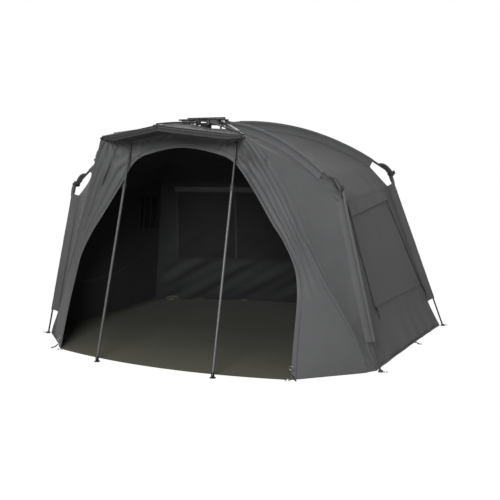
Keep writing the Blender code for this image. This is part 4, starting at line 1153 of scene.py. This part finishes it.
def back_wall_details():
    """The back windows with the seams round them, on the inner face of the back wall."""
    back = Surface(GRIDS["back"], Y_AXIS, inside=True)
    under = "back_cloth"
    for label, first, last in BACK_WINDOWS:
        corners = [(BACK_WINDOW_TOP, first), (BACK_WINDOW_TOP, last)]
        corners += [(SKIRT_TOP, last), (SKIRT_TOP, first)]
        patch("back_window_" + label, back, corners, (40, 40),
              lambda v, u: 0.0012 + 0.0010 * math.sin(11 * u + 16 * v), MESH_DARK)
    seam("back_pelmet", back, [(0.595, 0.060), (0.595, 0.940)], 0.042, CANOPY, under, steps=90, lift=0.0030,
         heights=(0.0, 3, 1, 4, 6, 3, 0.0))
    sill = SKIRT_TOP + 0.004
    seam("back_sill", back, [(sill, 0.065), (sill, 0.935)], 0.014, CANOPY_INSIDE, under, steps=90,
         lift=0.0024)
    for k, (high, low) in enumerate(BACK_SEAMS):
        seam(f"back_window_seam_{k}", back, [(0.600, high), (SKIRT_TOP + 0.006, low)], 0.016, CANOPY_SHADE,
             under, lift=0.0024, heights=DOUBLE_STITCH)


def side_wall_details(label, side):
    """The gathered mesh, a seam and the straps on the inner face of a side wall."""
    wall = Surface(GRIDS["side_" + label], X_AXIS * side, inside=True)
    under = "side_cloth_" + label
    patch("inner_mesh_" + label, wall, INNER_MESH, (24, 30),
          lambda v, u: 0.0012 + 0.0030 * abs(math.sin(17 * u)) * bow(v), MESH_BLACK)
    seam("inner_seam_" + label, wall, INNER_SEAM, 0.016, CANOPY_SHADE, under, heights=DOUBLE_STITCH)
    for k, across in enumerate(INNER_STRAPS):
        seam(f"gather_strap_{label}_{k}", wall, [(0.606, across), (0.66, across + 0.004), (0.722, across)],
             0.012, CANOPY_SHADE, under, lift=0.0032)


def elbow_shells(rib):
    """The long curved socket on the arm, the ribbed one on the leg, and the small outer tab."""
    first = rib.arm_point(0.915)
    bend = rib.arm_point(1.0)
    rise = (rib.out * 0.55 + UP).normalized()
    line, radii = [], []
    for k in range(41):
        t = k / 40
        line.append(first.lerp(bend, t) + rise * (0.020 * math.sin(math.pi * t ** 0.8) * (1 - 0.35 * t)))
        ribbing = 0.0011 * max(0.0, math.sin(40 * t)) if t < 0.6 else 0.0
        radii.append(mix(0.0085, 0.0145, ease(0.0, 0.8, t)) + ribbing)
    upper = tube_mesh("elbow_shell_" + rib.name, line, radii, PLASTIC, sides=24)
    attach(upper, "arm_" + rib.name)
    line, radii = [], []
    outer = (rib.out - rib.leg_axis * rib.out.dot(rib.leg_axis)).normalized()
    for k in range(61):
        t = k / 60
        line.append(rib.leg_top + rib.leg_axis * (0.004 + 0.080 * t) + outer * (0.004 * bow(t)))
        ribbing = 0.0012 * max(0.0, math.sin(52 * t)) if 0.25 < t < 0.92 else 0.0
        radii.append(mix(0.0132, 0.0112, t) + ribbing)
    lower = tube_mesh("leg_shell_" + rib.name, line, radii, PLASTIC_GREY, sides=24)
    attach(lower, "leg_" + rib.name)
    outward = (rib.out + UP * 0.35).normalized()
    along = outward.cross(rib.across)
    hinge = rib.elbow + outward * 0.0205
    tab = rounded_block("thumb_tab_" + rib.name, hinge + along * 0.003, (outward, along, rib.across),
                        (0.0036, 0.010, 0.0046), 0.0022, PLASTIC)
    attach(tab, "catch_" + rib.name)
    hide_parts("catch_" + rib.name)


def circle(centre, first, second, radius, steps):
    """A closed ring of points; its last point is its first."""
    turns = [2 * math.pi * k / steps for k in range(steps + 1)]
    return [centre + (first * math.cos(turn) + second * math.sin(turn)) * radius for turn in turns]


def hub_details():
    """Caps and rivets on the hub blocks, the spine's deeper bar, and a ring under the crown."""
    flat = (X_AXIS, Y_AXIS, UP)
    pieces = [rounded_block("spine_bar", Vector((0.002, 0, 1.4708)), flat, (0.133, 0.0085, 0.0060), 0.002,
                            PAINT)]
    for label, side in SIDES:
        pieces.append(rounded_block("hub_cap_" + label, Vector((side * 0.106, -0.032, 1.4600)), flat,
                                    (0.040, 0.066, 0.0045), 0.003, PLASTIC))
        for k, y in enumerate((-0.070, 0.036)):
            line = [Vector((side * 0.118, y, 1.4640 + 0.0022 * t)) for t in (0, 1)]
            pieces.append(tube_mesh(f"hub_rivet_{label}_{k}", line, 0.0040, STEEL, sides=16))
    ring = circle(Vector((-0.023, -0.072, 1.4195)), X_AXIS, UP, 0.0105, 32)
    pieces.append(tube_mesh("crown_ring", ring, 0.0016, STEEL, closed=True, sides=10))
    for piece in pieces:
        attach(piece, "root")


# Webbing that lifts the crown: each strip's reach across, its low and high end, and its ridges
CROWN_STRIPS = (
    ("crown_webbing", 0.002, 0.080, 1.396, 1.440, 5),
    ("crown_strap_right", 0.140, 0.152, 1.392, 1.446, 0),
    ("crown_strap_left", -0.152, -0.140, 1.392, 1.446, 0),
)


def crown_straps():
    for name, x_from, x_to, low, high, ridges in CROWN_STRIPS:
        grid = []
        for i in range(13):
            z = mix(high, low, i / 12)
            line = []
            for j in range(41):
                ridge = 0.0022 * math.sin(math.pi * ridges * j / 40) ** 2
                line.append(Vector((mix(x_from, x_to, j / 40), -0.074 - ridge, z)))
            grid.append(line)
        piece = sheet_mesh(name, grid, WEBBING, WEBBING, 0.0016)
        declare(piece, grid)


def peak_fittings():
    """The bracket and clip on each outer peak rib, and a cap on every rib's tip."""
    for label, side in SIDES:
        end = PEAKS[label].point(0.86) + UP * 0.007
        start = Vector((side * 0.166, -0.088, 1.450 if side > 0 else 1.436))
        along = (end - start).normalized()
        across = along.cross(UP).normalized()
        axes = (along, across, across.cross(along))
        bracket = rounded_block("peak_bracket_" + label, (start + end) / 2, axes,
                                ((end - start).length / 2, 0.0075, 0.0022), 0.0015, ALLOY_LIGHT)
        clip = rounded_block("bracket_clip_" + label, start.lerp(end, 0.34) + UP * 0.004, axes,
                             (0.010, 0.011, 0.009), 0.003, PLASTIC)
        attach(bracket, "peak_" + label)
        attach(clip, "peak_" + label)
    for label, rib in PEAKS.items():
        ahead = Vector((rib.out.x * 0.35, -1.0, 0)).normalized()
        place = rib.tip + ahead * 0.004 - UP * 0.011
        line = [place + ahead * t for t in (-0.006, 0.003, 0.006)]
        cap = tube_mesh("tip_cap_" + label, line, [0.0075, 0.0075, 0.0045], PLASTIC, sides=20)
        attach(cap, "peak_" + label)


def ring_at(name, centre, normal, radius, wire, body):
    """A steel ring of wire that lies square to normal."""
    first = normal.orthogonal().normalized()
    made = tube_mesh(name, circle(centre, first, normal.cross(first), radius, 28), wire, STEEL, closed=True)
    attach(made, body)
    return made


# The doorway's toggle, from its ring to the ground, and the place of the side hem's peg
DOOR_TOGGLE = ((0.010, -0.012, 0.030), (0.024, -0.022, 0.014), (0.046, -0.036, 0.006))
SIDE_PEG_X = 1.212
SIDE_PEG_Y = 0.66


def ground_rings():
    """Pegging rings and loops along the hem, and the doorway's rings and toggles."""
    for name, rib in RIBS.items():
        centre = Vector((rib.foot.x, rib.foot.y, 0.0035)) + rib.out * 0.030
        ring_at("foot_ring_" + name, centre, UP, 0.011, 0.0016, "leg_lower_" + name)
    for label, side in SIDES:
        arch = Vector((side * ARCH_FOOT[0], ARCH_FOOT[1], 0.004))
        place = arch + Vector((side * -0.012, -0.022, 0))
        gathers(ring_at(f"peg_ring_{label}_front", place, UP, 0.014, 0.0018, "root"))
        place = arch + Vector((side * 0.004, -0.010, 0.066))
        gathers(ring_at(f"door_ring_{label}", place, Vector((0, 1, 0.2)), 0.012, 0.0018, "root"))
        line = [arch + Vector((side * x, y, z)) for x, y, z in DOOR_TOGGLE]
        toggle = tube_mesh("door_toggle_" + label, line, 0.0036, WEBBING)
        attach(toggle, "root")
        gathers(toggle)
        place = Vector((side * (SIDE_PEG_X + 0.020), SIDE_PEG_Y, 0.005))
        gathers(ring_at(f"peg_ring_{label}_side", place, UP, 0.012, 0.0016, "root"))
        peg_loop(label, side)


def peg_loop(label, side):
    """The webbing loop that holds the side hem's ring."""
    middle = Vector((side * SIDE_PEG_X, SIDE_PEG_Y, 0.0))
    grid = []
    for i in range(9):
        out = i / 8
        grid.append([middle + Vector((side * mix(-0.016, 0.020, out), mix(-0.010, 0.010, j / 6),
                                      0.014 - 0.010 * out ** 2)) for j in range(7)])
    loop = sheet_mesh("peg_loop_" + label, grid, WEBBING, WEBBING, 0.0012, flip=side < 0)
    declare(loop, grid)


def edge_band(name, grid, rows, inset, start, lift, thickness, material, inverse=False):
    """A doubled band of cloth along a panel's edge, with the same width all along."""
    surface = Surface(grid, -Y_AXIS)
    cols = 5
    band = []
    for i in rows:
        line = grid[i] if not inverse else grid[i][::-1]
        wide = sum((b - a).length for a, b in zip(line, line[1:]))
        place = []
        for j in range(cols + 1):
            share = min(0.9, (start + inset * j / cols) / wide)
            across = 1 - share if inverse else share
            edge = 0.0 if j in (0, cols) else 1.0
            place.append(surface.at(i / surface.rows, across, lift + 0.0004 * edge)[0])
        band.append(place)
    outward = surface.at(rows[len(rows) // 2] / surface.rows, 0.5)[1]
    flip = grid_normals(band)[len(band) // 2][2].dot(outward) < 0
    piece = sheet_mesh(name, band, material, material, thickness, flip)
    declare(piece, band)


def fascia_hems():
    """The stitched line below the peak's edge from tip to tip, and the hem at its lower edge, in painted
    shade as the dark line where the underside begins.
    """
    surface = Surface(GRIDS["hood"], UP)
    hems = (("fascia_stitch", 4, 0.0060, BINDING), ("fascia_hem", 6.6, 0.0090, CANOPY_SHADE))
    for name, step, width, material in hems:
        down = ((ARM_ROWS - 1) * STEPS + step) / surface.rows
        seam(name, surface, [(down, 0.02), (down, 0.98)], width, material, "hood_cloth", steps=110,
             heights=(0, 1, 1, 0))


def face_bands():
    """The doorway's doubled hem with its outer seam, and the taped seam beside each front crease."""
    grid = GRIDS["face"]
    rows = range(len(grid))
    edge_band("door_band", grid, rows, 0.026, 0.0, 0.0016, 0.0012, CANOPY)
    edge_band("door_piping", grid, rows, 0.0040, 0.027, 0.0014, 0.0010, BINDING)
    for label, part in (("right", rows[16:112]), ("left", rows[-112:-16])):
        edge_band("crease_tape_" + label, grid, part, 0.020, 0.010, 0.0012, 0.0008, CANOPY, inverse=True)
        edge_band("crease_piping_" + label, grid, part, 0.0040, 0.018, 0.0020, 0.0009, BINDING, inverse=True)


FLOOR_SIDE = 90
FLOOR_Z = 0.0038
THRESHOLD_Z = 0.0028
EDGE_RISE = 0.020
LIP_HEIGHT = 0.0288
LIP_ROWS = 6
LIP_TURN = 115
BACK_CLEAR = 0.010


def floor_grid():
    """The floor's points from the threshold to the back wall, with its side edges turned up."""
    """The floor's points from the threshold to the back wall, with its side edges turned up."""
    sides = {side: along_path([Vector((side * CREASE_END[0], CREASE_END[1], 0)),
                               RIBS["front_" + label].ridge()[-1], RIBS["back_" + label].ridge()[-1]],
                              FLOOR_SIDE + 1) for label, side in SIDES}
    wide = CREASE_END[0]
    grid = []
    for i in range(FLOOR_SIDE + 1):
        down = i / FLOOR_SIDE
        line = []
        for j in range(FLOOR_SIDE + 1):
            u = 2 * j / FLOOR_SIDE - 1
            edge = sides[1 if u > 0 else -1][i]
            near = abs(u) * wide
            if near < ARCH_FOOT[0]:
                y_front = THRESHOLD_Y + (ARCH_FOOT[1] - THRESHOLD_Y) * (near / ARCH_FOOT[0]) ** 2
            else:
                y_front = mix(ARCH_FOOT[1], CREASE_END[1], (near - ARCH_FOOT[0]) / (wide - ARCH_FOOT[0]))
            y_back = BACK_HEM_Y - BACK_CLEAR - (BACK_HEM_Y - BACK_CLEAR - sides[1][-1].y) * u * u
            pull = edge.y - mix(CREASE_END[1], sides[1][-1].y, down)
            turned = ease(0.975, 1.0, abs(u)) * EDGE_RISE * ease(0.0, 0.04, down)
            x = abs(u) * (edge.x - math.copysign(0.5 * turned, u))
            y = mix(y_front, y_back, down) + pull * u * u
            z = FLOOR_Z + 0.0016 * crease_noise(Vector((x, y, 0)), 2.6, 3.0) * ease(0, 0.1, down)
            z += 0.0008 * abs(crease_noise(Vector((x, y, 0)), 9.0, 8.0)) * ease(0, 0.05, down) + turned
            line.append(Vector((x, y, max(z, HEM_Z))))
        grid.append(line)
    for point in grid[0]:
        point.z = THRESHOLD_Z
    return grid


def groundsheet():
    """The floor, with piping along the threshold and a curled lip along the back wall."""
    grid = floor_grid()
    piece = sheet_mesh("groundsheet_cloth", grid, GROUND, GROUND, 0.0022, flip=True)
    crumples(piece)
    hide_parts("groundsheet")
    front = [p + UP * 0.0004 for p in grid[0][10:-10]]
    tape("groundsheet_piping", front, [UP] * len(front), 0.010, GROUND_LIP, "groundsheet_cloth",
         slot_name="groundsheet_cloth")
    lip = []
    for k in range(LIP_ROWS + 1):
        turn = math.radians(LIP_TURN * k / LIP_ROWS)
        row = []
        for j, point in enumerate(grid[-1][3:-3]):
            swell = LIP_HEIGHT * (1 + 0.16 * math.sin(j * 0.33) + 0.10 * math.sin(j * 0.87 + 1))
            row.append(point + Vector((0, swell * (math.sin(turn) - 0.2 * math.sin(2 * turn)) * -0.55 - 0.004,
                                       swell * (1 - math.cos(turn)) * 0.9 + 0.001)))
        lip.append(row)
    curl = sheet_mesh("groundsheet_lip", lip, GROUND_LIP, GROUND_LIP, 0.0012, flip=True)
    crumples(curl)


def dress_nodes():
    """Better materials on the rigid pieces that are kept from the frame."""
    by_prefix = [("leg_lower", PAINT), ("pole_lower", ALLOY), ("pole_upper", PAINT), ("elbow_pin", PAINT),
                 ("arm_", PAINT), ("leg_", PAINT), ("peak_rib", PAINT), ("hub_spine", PAINT)]
    for name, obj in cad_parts.items():
        made = next((m for prefix, m in by_prefix if name.startswith(prefix)), PLASTIC)
        for place in obj.material_slots:
            place.material = made


def placed(name, data, place, turn):
    """An object with its data, set at a place and turned."""
    made = bpy.data.objects.new(name, data)
    made.location = place
    made.rotation_euler = turn
    bpy.context.collection.objects.link(made)
    return made


def camera_and_lamps():
    data = bpy.data.cameras.new("photo_camera")
    data.lens = CAMERA_LENS
    data.sensor_width = 36.0
    turn = (math.radians(90 + CAMERA_TILT), 0, math.radians(CAMERA_TURN))
    bpy.context.scene.camera = placed("photo_camera", data, CAMERA_PLACE, turn)
    for name, place, aim, size, power in LAMPS:
        lamp = bpy.data.lights.new(name, "AREA")
        lamp.shape = "RECTANGLE"
        lamp.size, lamp.size_y = size
        lamp.energy = power
        direction = Vector(aim) - Vector(place)
        placed(name, lamp, place, direction.to_track_quat("-Z", "Y").to_euler())


def studio_world():
    """White to the camera and in reflections, and a dim dome of light for all else."""
    world = bpy.data.worlds.new("studio")
    bpy.context.scene.world = world
    world.use_nodes = True
    tree = world.node_tree
    tree.nodes.clear()
    dome = add_node(tree, "ShaderNodeBackground", Color=(1, 1, 1, 1), Strength=DOME)
    white = add_node(tree, "ShaderNodeBackground", Color=(1, 1, 1, 1), Strength=1.0)
    path = add_node(tree, "ShaderNodeLightPath")
    shiny = joined(tree, "MAXIMUM", path.outputs["Is Glossy Ray"], path.outputs["Is Transmission Ray"])
    choose = add_node(tree, "ShaderNodeMixShader")
    link(tree, joined(tree, "MAXIMUM", path.outputs["Is Camera Ray"], shiny), choose.inputs[0])
    link(tree, dome.outputs[0], choose.inputs[1])
    link(tree, white.outputs[0], choose.inputs[2])
    link(tree, choose.outputs[0], add_node(tree, "ShaderNodeOutputWorld").inputs[0])


def floor_stage():
    """A pale floor that looks white to the camera and keeps the shelter's shadow."""
    material, tree, shader = new_material("pale_floor")
    shader.inputs["Base Color"].default_value = (0.45, 0.45, 0.45, 1)
    shader.inputs["Roughness"].default_value = 0.9
    path = add_node(tree, "ShaderNodeLightPath")
    glow = add_node(tree, "ShaderNodeEmission", Strength=1.06)
    blend = add_node(tree, "ShaderNodeMixShader")
    share = add_node(tree, "ShaderNodeMath", operation="MULTIPLY")
    share.inputs[1].default_value = 0.93
    link(tree, path.outputs["Is Camera Ray"], share.inputs[0])
    link(tree, share.outputs[0], blend.inputs[0])
    link(tree, shader.outputs[0], blend.inputs[1])
    link(tree, glow.outputs[0], blend.inputs[2])
    link(tree, blend.outputs[0], tree.nodes["Material Output"].inputs["Surface"])
    corners = [Vector((x, y, -0.0005)) for x, y in ((-FLOOR_HALF, -FLOOR_HALF), (FLOOR_HALF, -FLOOR_HALF),
                                                    (FLOOR_HALF, FLOOR_HALF), (-FLOOR_HALF, FLOOR_HALF))]
    new_mesh("floor", corners, [(0, 1, 2, 3)], [material])


def main():
    camera_and_lamps()
    studio_world()
    floor_stage()
    dress_nodes()
    for label, side in SIDES:
        GRIDS["side_" + label] = side_panel(label, side)
        GRIDS["wing_" + label] = wing_cloth(label, side)
    GRIDS["back"] = back_cloth()
    GRIDS["face"] = door_face()
    GRIDS["hood"] = hood()
    soffit(GRIDS["hood"], GRIDS["face"])
    crown()
    for rib in RIBS.values():
        rib_sleeves(rib)
    groundsheet()
    for label, side in SIDES:
        side_window(label, side)
    back_wall_details()
    for label, side in SIDES:
        side_wall_details(label, side)
    face_bands()
    fascia_hems()
    for rib in RIBS.values():
        elbow_shells(rib)
    hub_details()
    crown_straps()
    peak_fittings()
    ground_rings()


main()

bpy.context.scene.view_settings.view_transform = "Standard"
